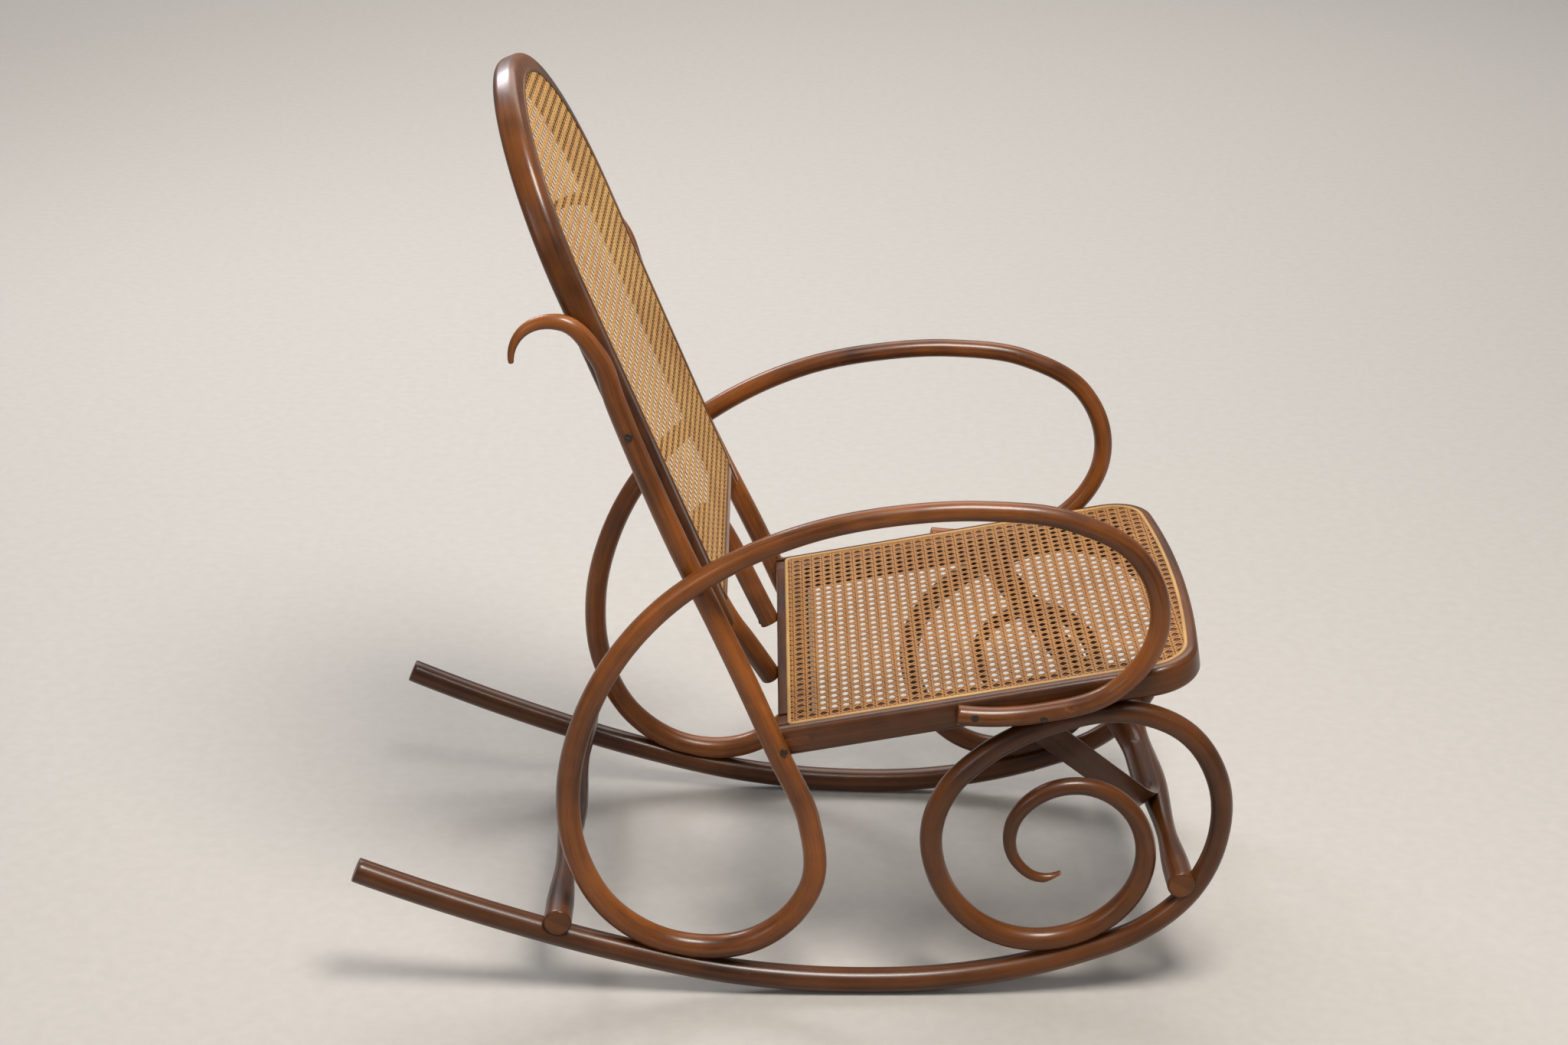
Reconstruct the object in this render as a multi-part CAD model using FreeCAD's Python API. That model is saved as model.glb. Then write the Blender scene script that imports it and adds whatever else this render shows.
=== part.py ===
import FreeCAD, Part
import math
import os

# Bentwood rocking chair, millimetres.
# +X is the way the sitter faces, +Y is the sitter's left, +Z is up.
# The chair stands on the floor plane z = 0 and is built as right-hand and left-hand mirror
# images about the plane y = 0. Side-view places are measured from the rear cut of the
# seat; the whole chair is moved at the end so that its origin is the bottom centre.

V = FreeCAD.Vector

# Wood stock, as radii of round bars
ROCKER_R = 14.4
SCROLL_R = 12.6
RISE_R = 12.6
CURL_TIP_R = 5.2
ARM_R = 11.0
LOOP_R = 13.2
STILE_R = 12.3
HOOK_R = 10.5
HOOK_TIP_R = 2.6
BEND_STEP = 22.0

# Seat, measured in its own plane from the rear cut, with the top at height 0
SEAT_REAR_X = 37.0
SEAT_REAR_Z = 332.4
SEAT_RAKE = 11.4
SEAT_LENGTH = 476.0
SEAT_HALF_WIDTH = 228.0
SEAT_FRONT_R = 1500.0
SEAT_CORNER_R = 58.0
RAIL_HEIGHT = 34.0
RAIL_WIDTH = 38.0
RAIL_ROUND = 7.0
TENON_HEIGHT = 10.0
TENON_WIDTH = 27.0
TENON_SHOW = 0.3

# Cane and its spline
CANE_THICK = 1.2
SPLINE_INSET = 10.5
SPLINE_WIDTH = 4.6
SPLINE_DEPTH = 5.0
SPLINE_PROUD = 0.9
FIT = 0.05

# Back
BACK_X = -12.0
BACK_Z = 449.4
BACK_RECLINE = 23.0
BACK_HALF_WIDTH = 210.0
BACK_HEIGHT = 612.0
BACK_DEPTH = 29.0
BACK_STOCK = 30.0
BACK_ROUND = 8.0
CROSSBAR_UP = 16.0
CROSSBAR_HEIGHT = 28.0
CROSSBAR_DEPTH = 20.0

# Turned stretchers
STRETCHER_END_R = 15.8
STRETCHER_WAIST_R = 11.5
STRETCHER_MID_R = 17.0
STRETCHER_CHAMFER = 2.5
STRETCHER_STEPS = 3
STRETCHER_PROUD = 0.6
REAR_STRETCHER_X = -210.0
FRONT_STRETCHER_X = 506.5
REAR_NOTCH_DEPTH = 9.0
FRONT_NOTCH_DEPTH = 10.4
SADDLE_EASE = 0.4

# Round hoop that props the back against the rear rail
SUPPORT_R = 12.0
SUPPORT_FOOT_DOWN = 7.5
SUPPORT_FOOT_TAIL = 6.0
SUPPORT_FOOT_Y = 69.0
SUPPORT_TOP_UP = 36.0
SUPPORT_PLANED = 0.8

# Half-round hoop that braces the seat from the front stretcher
BRACE_WIDTH = 33.0
BRACE_THICK = 15.0
BRACE_TOP_X = 297.0
BRACE_TOP_INSET = 29.0
BRACE_FLAT = 44.0
BRACE_BEND_R = 62.0

# Gaps left between faces that meet: planed faces, and a planed face on a round bar
FLAT_GAP = 0.1
ROUND_GAP = 0.3

# Screws
HEAD_R = 4.2
HEAD_DEPTH = 2.6
SHANK_R = 2.0
SCREW_GAP = 0.1
SCREW_BITE = 13.0
HEAD_SUNK = 0.8
ARM_SCREW_X = (248.0, 322.0)
STILE_SCREW = (44.0, 318.0)
LOOP_SCREW_X = -63.0
SCROLL_SCREW_X = 373.0

# The rockers lie outside the seat and a little wider apart at the back
ROCKER_OUT = 4.0
ROCKER_SPLAY = 0.022

# Side view of the rocker and its scroll, from the rear end to the tip of the curl
ROCKER_POINTS = [
    (-426, 158), (-286, 103.5), (-142, 57.5), (6, 24), (125, 14.8), (245, 20.5), (312, 32.5),
    (385, 54.2), (449.1, 81.6), (503.3, 133.1), (529, 204), (521.4, 278), (477, 339),
]
SCROLL_POINTS = [
    (477, 339), (440, 356), (400, 361), (350, 351), (300, 330), (258, 301), (226, 264),
    (210, 217), (215, 166), (238, 119.7), (276, 85.3), (324, 70), (375.6, 77), (419, 105), (446, 149),
]
CURL_POINTS = [
    (446, 149), (447, 200), (421, 245), (376.6, 267), (327, 256), (298, 216), (309, 167),
    (332, 151), (358, 155),
]

# Side view of the arm, loop and stile, from the arm's cut end to the hook:
# forward, out from the side of the seat, up
ARM_POINTS = [
    (229.6, 9.6, 361), (317, 9.6, 364.5), (398, 12, 395.6), (438, 15, 470.7), (410, 17, 553),
    (336, 20, 595), (249, 22, 605.5), (160, 22, 599.5), (75, 22, 581),
]
LOOP_POINTS = [
    (-172, 14, 350.5), (-190, 12, 264.5), (-181, 9, 176), (-139, 6, 101), (-63, 3, 60), (22, 4, 72),
    (77, 5, 138), (73.5, 7, 223.7), (39.6, 10, 306),
]
# The same, but out from the side of the back: where the arm crosses the stile, and the stile
CROSSING_POINTS = [(-5, 38.5, 546.4), (-78, 37, 495.3), (-134, 34, 428.7)]
STILE_POINTS = [(5, 19.5, 384), (-32.5, 12, 463.5), (-70, 11.6, 543.8), (-104.7, 11.3, 625), (-137, 11, 706.6)]
HOOK_POINTS = [(-137, 11, 706.6), (-155, 11, 757), (-193, 11, 793), (-234, 11, 779), (-243, 11, 748)]

# Half of the support hoop in its own plane, from the top: half width, down from the top
SUPPORT_POINTS = [(0, 0), (40, 3), (76, 15), (99, 42), (101, 76), (88, 110)]


def unit(v):
    return v * (1.0 / v.Length)


def circle_tangent(a, b, c):
    """The direction at b of the circle through a, b and c."""
    back = b - a
    ahead = c - b
    return unit(unit(back) * ahead.Length + unit(ahead) * back.Length)


def tangents(points):
    """One direction for each point, turning evenly along the path."""
    middle = [circle_tangent(points[i - 1], points[i], points[i + 1]) for i in range(1, len(points) - 1)]
    chord = unit(points[1] - points[0])
    first = unit(chord * (2 * chord.dot(middle[0])) - middle[0])
    chord = unit(points[-1] - points[-2])
    last = unit(chord * (2 * chord.dot(middle[-1])) - middle[-1])
    return [first] + middle + [last]


def arc_from(start, direction, end):
    """A circular arc that leaves start along direction and arrives at end, or a line."""
    chord = end - start
    side = direction - unit(chord) * direction.dot(unit(chord))
    if side.Length < 1e-4:
        return Part.LineSegment(start, end).toShape()
    turn = math.acos(max(-1.0, min(1.0, direction.dot(unit(chord)))))
    middle = (start + end) * 0.5 + unit(side) * (chord.Length / 2 * math.tan(turn / 2))
    return Part.Arc(start, middle, end).toShape()


def biarc(p0, t0, p1, t1):
    """Two arcs that meet smoothly and join p0 to p1 with the given directions."""
    gap = p1 - p0
    both = t0 + t1
    bend = 2 * (1 - t0.dot(t1))
    if bend < 1e-9:
        reach = gap.dot(gap) / (4 * gap.dot(t1))
    else:
        reach = (math.sqrt(gap.dot(both) ** 2 + bend * gap.dot(gap)) - gap.dot(both)) / bend
    meet = (p0 + t0 * reach + p1 - t1 * reach) * 0.5
    first = arc_from(p0, t0, meet)
    arrive = unit(meet - (p0 + t0 * reach))
    return [first, arc_from(meet, arrive, p1)]


def smooth_edges(points, directions):
    edges = []
    for i in range(len(points) - 1):
        edges += biarc(points[i], directions[i], points[i + 1], directions[i + 1])
    return edges


def ring_at(point, direction, side, radius):
    """A circle square to direction whose seam lies towards side."""
    seam = unit(side - direction * side.dot(direction))
    turn = FreeCAD.Rotation(seam, direction.cross(seam), direction, "ZXY")
    circle = Part.Circle(V(0, 0, 0), V(0, 0, 1), radius).toShape()
    circle.Placement = FreeCAD.Placement(point, turn)
    return Part.Wire(circle)


def stations(edges):
    """Places along a smooth chain of edges, close enough for the bends: point, direction, reach."""
    found = [(edges[0].valueAt(edges[0].FirstParameter), edges[0].tangentAt(edges[0].FirstParameter), 0.0)]
    reach = 0.0
    for place, edge in enumerate(edges):
        first, last = edge.FirstParameter, edge.LastParameter
        straight = edge.Curve.TypeId == "Part::GeomLine"
        turn = 0.0 if straight else math.degrees(last - first)
        count = round(turn / BEND_STEP)
        if straight or place % 2 == 1:
            count = max(1, count)
        for k in range(1, count + 1):
            at = first + (last - first) * k / count
            found.append((edge.valueAt(at), unit(edge.tangentAt(at)), reach + edge.Length * k / count))
        reach += edge.Length
    return found


def bars(groups, side=V(0, 1, 0)):
    """Round bars along one smooth path, one solid for each group of runs.

    Each run is (points, r_start, r_end)."""
    joined = []
    for points, r_start, r_end in [run for group in groups for run in group]:
        joined += points if not joined else points[1:]
    directions = tangents(joined)
    solids = []
    at = 0
    for group in groups:
        rings = []
        for points, r_start, r_end in group:
            places = stations(smooth_edges(points, directions[at:at + len(points)]))
            whole = places[-1][2]
            for point, direction, reach in places[1 if rings else 0:]:
                radius = r_start + (r_end - r_start) * reach / whole
                rings.append(ring_at(point, direction, side, radius))
            at += len(points) - 1
        solids.append(Part.makeLoft(rings, True, True))
    return solids


def mirrored(shape):
    return shape.mirror(V(0, 0, 0), V(0, 1, 0))


def slab(x0, x1, y0, y1, z0, z1):
    return Part.makeBox(x1 - x0, y1 - y0, z1 - z0, V(x0, y0, z0))


def placed(shape, x, z, tilt_deg):
    """Turns a shape about the Y axis and sets its origin at (x, 0, z)."""
    spot = FreeCAD.Placement(V(x, 0, z), FreeCAD.Rotation(V(0, 1, 0), tilt_deg))
    moved = shape.copy()
    moved.Placement = spot.multiply(moved.Placement)
    return moved


def rocker_half_width(x):
    return SEAT_HALF_WIDTH + ROCKER_OUT - ROCKER_SPLAY * x


def point_on(points, x):
    """Height and slope, in radians, of a side-view line where it first passes x."""
    line = [V(px, 0, pz) for px, pz in points]
    for edge in smooth_edges(line, tangents(line)):
        first, last = edge.FirstParameter, edge.LastParameter
        lo, hi = edge.valueAt(first).x, edge.valueAt(last).x
        if (lo - x) * (hi - x) > 0:
            continue
        for step in range(40):
            middle = (first + last) / 2
            if (edge.valueAt(middle).x - x) * (lo - x) > 0:
                first = middle
            else:
                last = middle
        direction = edge.tangentAt(first)
        return edge.valueAt(first).z, math.atan2(direction.z, direction.x)
    raise ValueError("the line doesn't pass this place")


def on_rocker(points):
    return [V(x, -rocker_half_width(x), z) for x, z in points]


def beside(half_width, points):
    return [V(x, -half_width - out, z) for x, out, z in points]


def seat_plan(inset, z, rear):
    """Plan of the seat at height z, drawn inset from its outer edge and cut straight at rear."""
    half = SEAT_HALF_WIDTH - inset
    front = SEAT_LENGTH - inset
    front_r = SEAT_FRONT_R - inset
    corner_r = SEAT_CORNER_R - inset
    front_centre = V(front - front_r, 0, z)
    ahead = math.sqrt((front_r - corner_r) ** 2 - (half - corner_r) ** 2)
    corner_centre = V(front_centre.x + ahead, corner_r - half, z)
    leave = V(corner_centre.x, -half, z)
    arrive = front_centre + (corner_centre - front_centre) * (front_r / (front_r - corner_r))
    outward = unit(unit(arrive - corner_centre) + V(0, -1, 0))
    corner = corner_centre + outward * corner_r
    start = V(rear, -half, z)
    edges = [
        Part.LineSegment(start, leave).toShape(),
        Part.Arc(leave, corner, arrive).toShape(),
        Part.Arc(arrive, V(front, 0, z), flip(arrive)).toShape(),
        Part.Arc(flip(arrive), flip(corner), flip(leave)).toShape(),
        Part.LineSegment(flip(leave), flip(start)).toShape(),
        Part.LineSegment(flip(start), start).toShape(),
    ]
    return Part.Wire(edges)


def flip(p):
    return V(p.x, -p.y, p.z)


def prism(wire, height):
    return Part.Face(wire).extrude(V(0, 0, height))


def seat_groove(inset, depth, grow):
    """Ring-shaped channel for the cane's spline, cut down from the seat's top."""
    outer = prism(seat_plan(inset - grow, -depth, inset - grow), depth + SPLINE_PROUD)
    inner = prism(seat_plan(inset + SPLINE_WIDTH + grow, -depth - 1, inset + SPLINE_WIDTH + grow), depth + 3)
    return outer.cut(inner)


def seat_frame():
    """Bent side and front rail, rear rail, cane and spline, in the seat's own plane."""
    block = prism(seat_plan(0, -RAIL_HEIGHT, 0), RAIL_HEIGHT)
    rim_edges = [e for e in block.Edges if not_vertical(e) and not on_rear(e)]
    block = block.makeFillet(RAIL_ROUND, rim_edges)
    hole = prism(seat_plan(RAIL_WIDTH, -RAIL_HEIGHT - 1, RAIL_WIDTH), RAIL_HEIGHT + 2)
    frame = block.cut(hole)
    frame = frame.cut(seat_groove(SPLINE_INSET, SPLINE_DEPTH, FIT))
    shelf_inset = SPLINE_INSET + SPLINE_WIDTH
    shelf = prism(seat_plan(shelf_inset, -CANE_THICK, shelf_inset), CANE_THICK + 1)
    frame = frame.cut(shelf)
    middle = SEAT_HALF_WIDTH - RAIL_WIDTH
    rail = frame.common(slab(-1, RAIL_WIDTH, -middle, middle, -RAIL_HEIGHT - 1, 1))
    rim = frame.cut(slab(-1, RAIL_WIDTH + 0.01, -middle, middle, -RAIL_HEIGHT - 1, 1))
    tenon_z = -RAIL_HEIGHT / 2 - TENON_HEIGHT / 2
    tenon_x = (RAIL_WIDTH - TENON_WIDTH) / 2
    reach = SEAT_HALF_WIDTH + TENON_SHOW
    tenon = slab(tenon_x, tenon_x + TENON_WIDTH, -reach, reach, tenon_z, tenon_z + TENON_HEIGHT)
    rim = rim.cut(tenon)
    rail = rail.fuse(tenon).removeSplitter()
    spline = seat_groove(SPLINE_INSET, SPLINE_DEPTH, 0)
    cane_inset = shelf_inset + FIT
    cane = prism(seat_plan(cane_inset, -CANE_THICK, cane_inset), CANE_THICK)
    return [shape_at_seat(s) for s in (rim, rail, cane, spline)]


def not_vertical(edge):
    box = edge.BoundBox
    return box.ZLength < 1e-6


def on_rear(edge):
    return edge.BoundBox.XMax < 1e-6


def shape_at_seat(shape):
    return placed(shape, SEAT_REAR_X, SEAT_REAR_Z, -SEAT_RAKE)


def back_plan(inset, n):
    """Inverted U of the back at depth n; the local axes are n forward, y and up."""
    half = BACK_HALF_WIDTH - inset
    top = BACK_HEIGHT - inset
    spring = BACK_HEIGHT - BACK_HALF_WIDTH
    a = V(n, -half, 0)
    b = V(n, -half, spring)
    c = V(n, 0, top)
    return a, b, c, V(n, half, spring), V(n, half, 0)


def back_face(inset, n, foot):
    a, b, c, d, e = back_plan(inset, n)
    a = V(a.x, a.y, foot)
    e = V(e.x, e.y, foot)
    wire = Part.Wire([
        Part.LineSegment(a, b).toShape(),
        Part.Arc(b, c, d).toShape(),
        Part.LineSegment(d, e).toShape(),
        Part.LineSegment(e, a).toShape(),
    ])
    return Part.Face(wire)


def back_prism(inset, n0, n1, foot):
    return back_face(inset, n0, foot).extrude(V(n1 - n0, 0, 0))


def back_groove(depth, grow):
    top = CROSSBAR_UP + CROSSBAR_HEIGHT
    outer_foot = top - SPLINE_INSET - SPLINE_WIDTH - grow
    inner_foot = outer_foot + SPLINE_WIDTH + 2 * grow
    outer = back_prism(BACK_STOCK - SPLINE_INSET - grow, -depth, SPLINE_PROUD, outer_foot)
    inner = back_prism(BACK_STOCK - SPLINE_INSET + SPLINE_WIDTH + grow, -depth - 1, 3, inner_foot)
    return outer.cut(inner)


def back_frame():
    """Bent back hoop, crossbar, cane and spline, in the back's own plane, front face at n = 0."""
    block = back_prism(0, -BACK_DEPTH, 0, 0)
    rim_edges = [e for e in block.Edges if e.BoundBox.XLength < 1e-6 and e.BoundBox.ZMax > 1]
    block = block.makeFillet(BACK_ROUND, rim_edges)
    hole = back_prism(BACK_STOCK, -BACK_DEPTH - 1, 1, -1)
    hoop = block.cut(hole)
    half = BACK_HALF_WIDTH - BACK_STOCK
    top = CROSSBAR_UP + CROSSBAR_HEIGHT
    bar_shape = slab(-CROSSBAR_DEPTH, 0, -half, half, CROSSBAR_UP, top)
    long_edges = [e for e in bar_shape.Edges if e.BoundBox.YLength > half and e.BoundBox.ZMax < CROSSBAR_UP + 1]
    bar_shape = bar_shape.makeFillet(BACK_ROUND, long_edges)
    cut_groove = back_groove(SPLINE_DEPTH, FIT)
    shelf_foot = top - SPLINE_INSET
    shelf = back_prism(BACK_STOCK - SPLINE_INSET + SPLINE_WIDTH, -CANE_THICK, 1, shelf_foot)
    hoop = hoop.cut(cut_groove).cut(shelf)
    bar_shape = bar_shape.cut(cut_groove).cut(shelf)
    spline = back_groove(SPLINE_DEPTH, 0)
    cane = back_prism(BACK_STOCK - SPLINE_INSET + SPLINE_WIDTH + FIT, -CANE_THICK, 0, shelf_foot + FIT)
    return [at_back(s) for s in (hoop, bar_shape, cane, spline)]


def at_back(shape):
    return placed(shape, BACK_X, BACK_Z, -BACK_RECLINE)


def turned_stretcher(x, z, half_length):
    """Turned bar along Y: thick ends, two waists and a swelling in the middle."""
    quarter = half_length * 0.5
    end = half_length - 2.2 * STRETCHER_END_R
    profile = [(half_length, STRETCHER_END_R - STRETCHER_CHAMFER), (half_length - STRETCHER_CHAMFER, STRETCHER_END_R)]
    for y0, r0, y1, r1 in (
        (end, STRETCHER_END_R, quarter, STRETCHER_WAIST_R), (quarter, STRETCHER_WAIST_R, 0, STRETCHER_MID_R),
    ):
        for k in range(STRETCHER_STEPS):
            part = k / STRETCHER_STEPS
            ease = part * part * (3 - 2 * part)
            profile.append((y0 + (y1 - y0) * part, r0 + (r1 - r0) * ease))
    profile.append((0, STRETCHER_MID_R))
    profile += [(-y, r) for y, r in profile[-2::-1]]
    rings = [ring_at(V(x, -y, z), V(0, 1, 0), V(0, 0, 1), r) for y, r in profile]
    return Part.makeLoft(rings, True, True)


def seat_line(x, down):
    """Height at x of the line that lies down below the seat's top plane."""
    rake = math.radians(SEAT_RAKE)
    return SEAT_REAR_Z + (x - SEAT_REAR_X) * math.tan(rake) - down / math.cos(rake)


def planed_seat(points, radius, x):
    """A block that planes a curve's lower pass to sit on the rocker at x."""
    z, slope = point_on(ROCKER_POINTS, x)
    z += (ROCKER_R + ROUND_GAP) / math.cos(slope)
    reach = 2.5 * radius
    block = slab(-reach, reach, -2 * radius, 2 * radius, -radius, 0)
    turn = FreeCAD.Rotation(V(0, 1, 0), -math.degrees(slope))
    block.Placement = FreeCAD.Placement(V(x, -rocker_half_width(x), z), turn)
    return block


def rocker_bar():
    ahead = on_rocker(ROCKER_POINTS[7:])
    return [
        (on_rocker(ROCKER_POINTS[:8]), ROCKER_R, ROCKER_R),
        (ahead[:2], ROCKER_R, RISE_R),
        (ahead[1:], RISE_R, RISE_R),
    ]


def rocker_side():
    """Rocker, front rise, scroll and curl: one bent bar, planed where it meets its neighbours."""
    rocker, scroll = bars([
        rocker_bar(),
        [(on_rocker(SCROLL_POINTS), RISE_R, SCROLL_R), (on_rocker(CURL_POINTS), SCROLL_R, CURL_TIP_R)],
    ])
    scroll = scroll.cut(planed_seat(SCROLL_POINTS, SCROLL_R, SCROLL_SCREW_X))
    rail_side = SEAT_HALF_WIDTH + 2 * RISE_R
    rail_under = slab(SEAT_LENGTH / 3, SEAT_LENGTH, -rail_side, RAIL_WIDTH - SEAT_HALF_WIDTH, -RAIL_HEIGHT - FLAT_GAP, 0)
    whole = rocker.cut(shape_at_seat(rail_under)).fuse(scroll.cut(shape_at_seat(rail_under)))
    return whole.Solids[0]


def arm_side():
    """Arm, big rear loop, stile and hook: one bent bar, planed where it meets its neighbours."""
    crossing = beside(BACK_HALF_WIDTH, CROSSING_POINTS)
    loop = beside(SEAT_HALF_WIDTH, LOOP_POINTS)
    stile = beside(BACK_HALF_WIDTH, STILE_POINTS)
    arm = beside(SEAT_HALF_WIDTH, ARM_POINTS)
    whole, = bars([[
        (arm, ARM_R, ARM_R),
        ([arm[-1]] + crossing, ARM_R, LOOP_R),
        ([crossing[-1]] + loop, LOOP_R, STILE_R),
        ([loop[-1]] + stile, STILE_R, HOOK_R),
        (beside(BACK_HALF_WIDTH, HOOK_POINTS), HOOK_R, HOOK_TIP_R),
    ]])
    flat = -SEAT_HALF_WIDTH - FLAT_GAP
    for x0, x1, z in ((arm[0].x, arm[1].x, arm[0].z), (STILE_SCREW[0], STILE_SCREW[0], STILE_SCREW[1])):
        block = slab(x0 - 2.5 * ARM_R, x1 + 2.5 * ARM_R, flat, flat + ARM_R, z - 4 * ARM_R, z + 3 * ARM_R)
        whole = whole.cut(block)
    return whole.cut(planed_seat(LOOP_POINTS, LOOP_R, LOOP_SCREW_X))


def support_hoop():
    """Round hoop from the rear rail up to the back of the crossbar."""
    rake, lean = math.radians(SEAT_RAKE), math.radians(BACK_RECLINE)
    out = SUPPORT_R - SUPPORT_PLANED
    foot = V(SEAT_REAR_X, 0, SEAT_REAR_Z) + V(math.sin(rake), 0, -math.cos(rake)) * SUPPORT_FOOT_DOWN
    foot = foot + V(-math.cos(rake), 0, -math.sin(rake)) * out
    top = V(BACK_X, 0, BACK_Z) + V(-math.sin(lean), 0, math.cos(lean)) * SUPPORT_TOP_UP
    top = top + V(-math.cos(lean), 0, -math.sin(lean)) * (CROSSBAR_DEPTH + out)
    down = unit(foot - top)
    half = [top + V(0, y, 0) + down * s for y, s in SUPPORT_POINTS]
    half.append(foot + V(0, SUPPORT_FOOT_Y, 0) + down * SUPPORT_FOOT_TAIL)
    points = [flip(p) for p in half[:0:-1]] + half
    hoop, = bars([[(points, SUPPORT_R, SUPPORT_R)]], V(0, 1, 0).cross(down))
    at_rail = slab(-FLAT_GAP, 60, -80, 80, -60, 30)
    at_bar = slab(-CROSSBAR_DEPTH - FLAT_GAP, 20, -135, 135, CROSSBAR_UP - 2, CROSSBAR_UP + 60)
    return hoop.cut(shape_at_seat(at_rail)).cut(at_back(at_bar)), foot


def half_round(point, direction, side):
    """The brace's section: flat face outwards, rounded face towards the middle of the hoop."""
    w, t = BRACE_WIDTH / 2, BRACE_THICK / 2
    edges = [
        Part.LineSegment(V(-w, t, 0), V(w, t, 0)).toShape(),
        Part.Arc(V(w, t, 0), V(0, -t, 0), V(-w, t, 0)).toShape(),
    ]
    section = Part.Wire(edges)
    turn = FreeCAD.Rotation(side, direction.cross(side), direction, "ZXY")
    section.Placement = FreeCAD.Placement(point, turn)
    return section


def brace_hoop(stretcher):
    """Half-round hoop from the front stretcher up to the undersides of the side rails."""
    top = V(BRACE_TOP_X, 0, seat_line(BRACE_TOP_X, RAIL_HEIGHT))
    top_y = SEAT_HALF_WIDTH - BRACE_TOP_INSET
    up = unit(top - stretcher)
    bottom = stretcher + up * (STRETCHER_MID_R + BRACE_THICK / 2 + FLAT_GAP)
    rise = (top - bottom).Length
    reach, lift = top_y - BRACE_FLAT, rise - BRACE_BEND_R
    turn = math.atan2(lift, reach) + math.asin(BRACE_BEND_R / math.hypot(reach, lift))
    over = 14

    def at(y, s):
        return bottom + V(0, y, 0) + up * s

    def on_bend(angle):
        return BRACE_FLAT + BRACE_BEND_R * math.sin(angle), BRACE_BEND_R * (1 - math.cos(angle))

    leg = at(top_y + over * math.cos(turn), rise + over * math.sin(turn))
    bend_end, bend_middle, flat_end = at(*on_bend(turn)), at(*on_bend(turn / 2)), at(BRACE_FLAT, 0)
    edges = [
        Part.LineSegment(flip(leg), flip(bend_end)).toShape(),
        Part.Arc(flip(bend_end), flip(bend_middle), flip(flat_end)).toShape(),
        Part.LineSegment(flip(flat_end), flat_end).toShape(),
        Part.Arc(flat_end, bend_middle, bend_end).toShape(),
        Part.LineSegment(bend_end, leg).toShape(),
    ]
    side = up.cross(V(0, 1, 0)) * -1
    side = side if side.z > 0 else side * -1
    rings = [half_round(p, d, side) for p, d, s in stations(edges)]
    hoop = Part.makeLoft(rings, True, True)
    rail = slab(0, SEAT_LENGTH, -SEAT_HALF_WIDTH - 40, SEAT_HALF_WIDTH + 40, -RAIL_HEIGHT - FLAT_GAP, 20)
    return hoop.cut(shape_at_seat(rail))


def screw(point, direction, length, room=0.0):
    """A screw with its head just under point, or the hole for it where room is given."""
    above = point - direction * 8 * (room > 0)
    under = point + direction * HEAD_SUNK
    top = above if room else under
    head = Part.makeCylinder(HEAD_R + room, (under - top).Length + HEAD_DEPTH + room, top, direction)
    shank = Part.makeCylinder(SHANK_R + room, length + room, under, direction)
    return head.fuse(shank)


def right_screws(support_foot):
    """Where the right-hand screws start, which way they run and how long they are."""
    inward = V(0, 1, 0)
    side = SEAT_HALF_WIDTH
    arm_out, arm_z = side + ARM_POINTS[0][1] + ARM_R, ARM_POINTS[0][2] + 1.5
    stile_out = side + LOOP_POINTS[-1][1] + STILE_R
    rake = math.radians(SEAT_RAKE)
    on_rocker_bar = []
    for x in (LOOP_SCREW_X, SCROLL_SCREW_X):
        z, slope = point_on(ROCKER_POINTS, x)
        up = V(-math.sin(slope), 0, math.cos(slope))
        start = V(x, -rocker_half_width(x), z) - up * ROCKER_R
        on_rocker_bar.append((start, up, 2 * ROCKER_R + SCREW_BITE))
    ahead = V(math.cos(rake), 0, math.sin(rake))
    foot = support_foot + V(0, -SUPPORT_FOOT_Y, 0) - ahead * SUPPORT_R
    return {
        "arm_seat_screws": [
            (V(x, -arm_out, arm_z), inward, arm_out - side + SCREW_BITE) for x in ARM_SCREW_X
        ],
        "stile_seat_screws": [
            (V(STILE_SCREW[0], -stile_out, STILE_SCREW[1]), inward, stile_out - side + SCREW_BITE),
        ],
        "rocker_screws": on_rocker_bar,
        "support_hoop_screws": [(foot, ahead, 2 * SUPPORT_R + SCREW_BITE)],
    }


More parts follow.
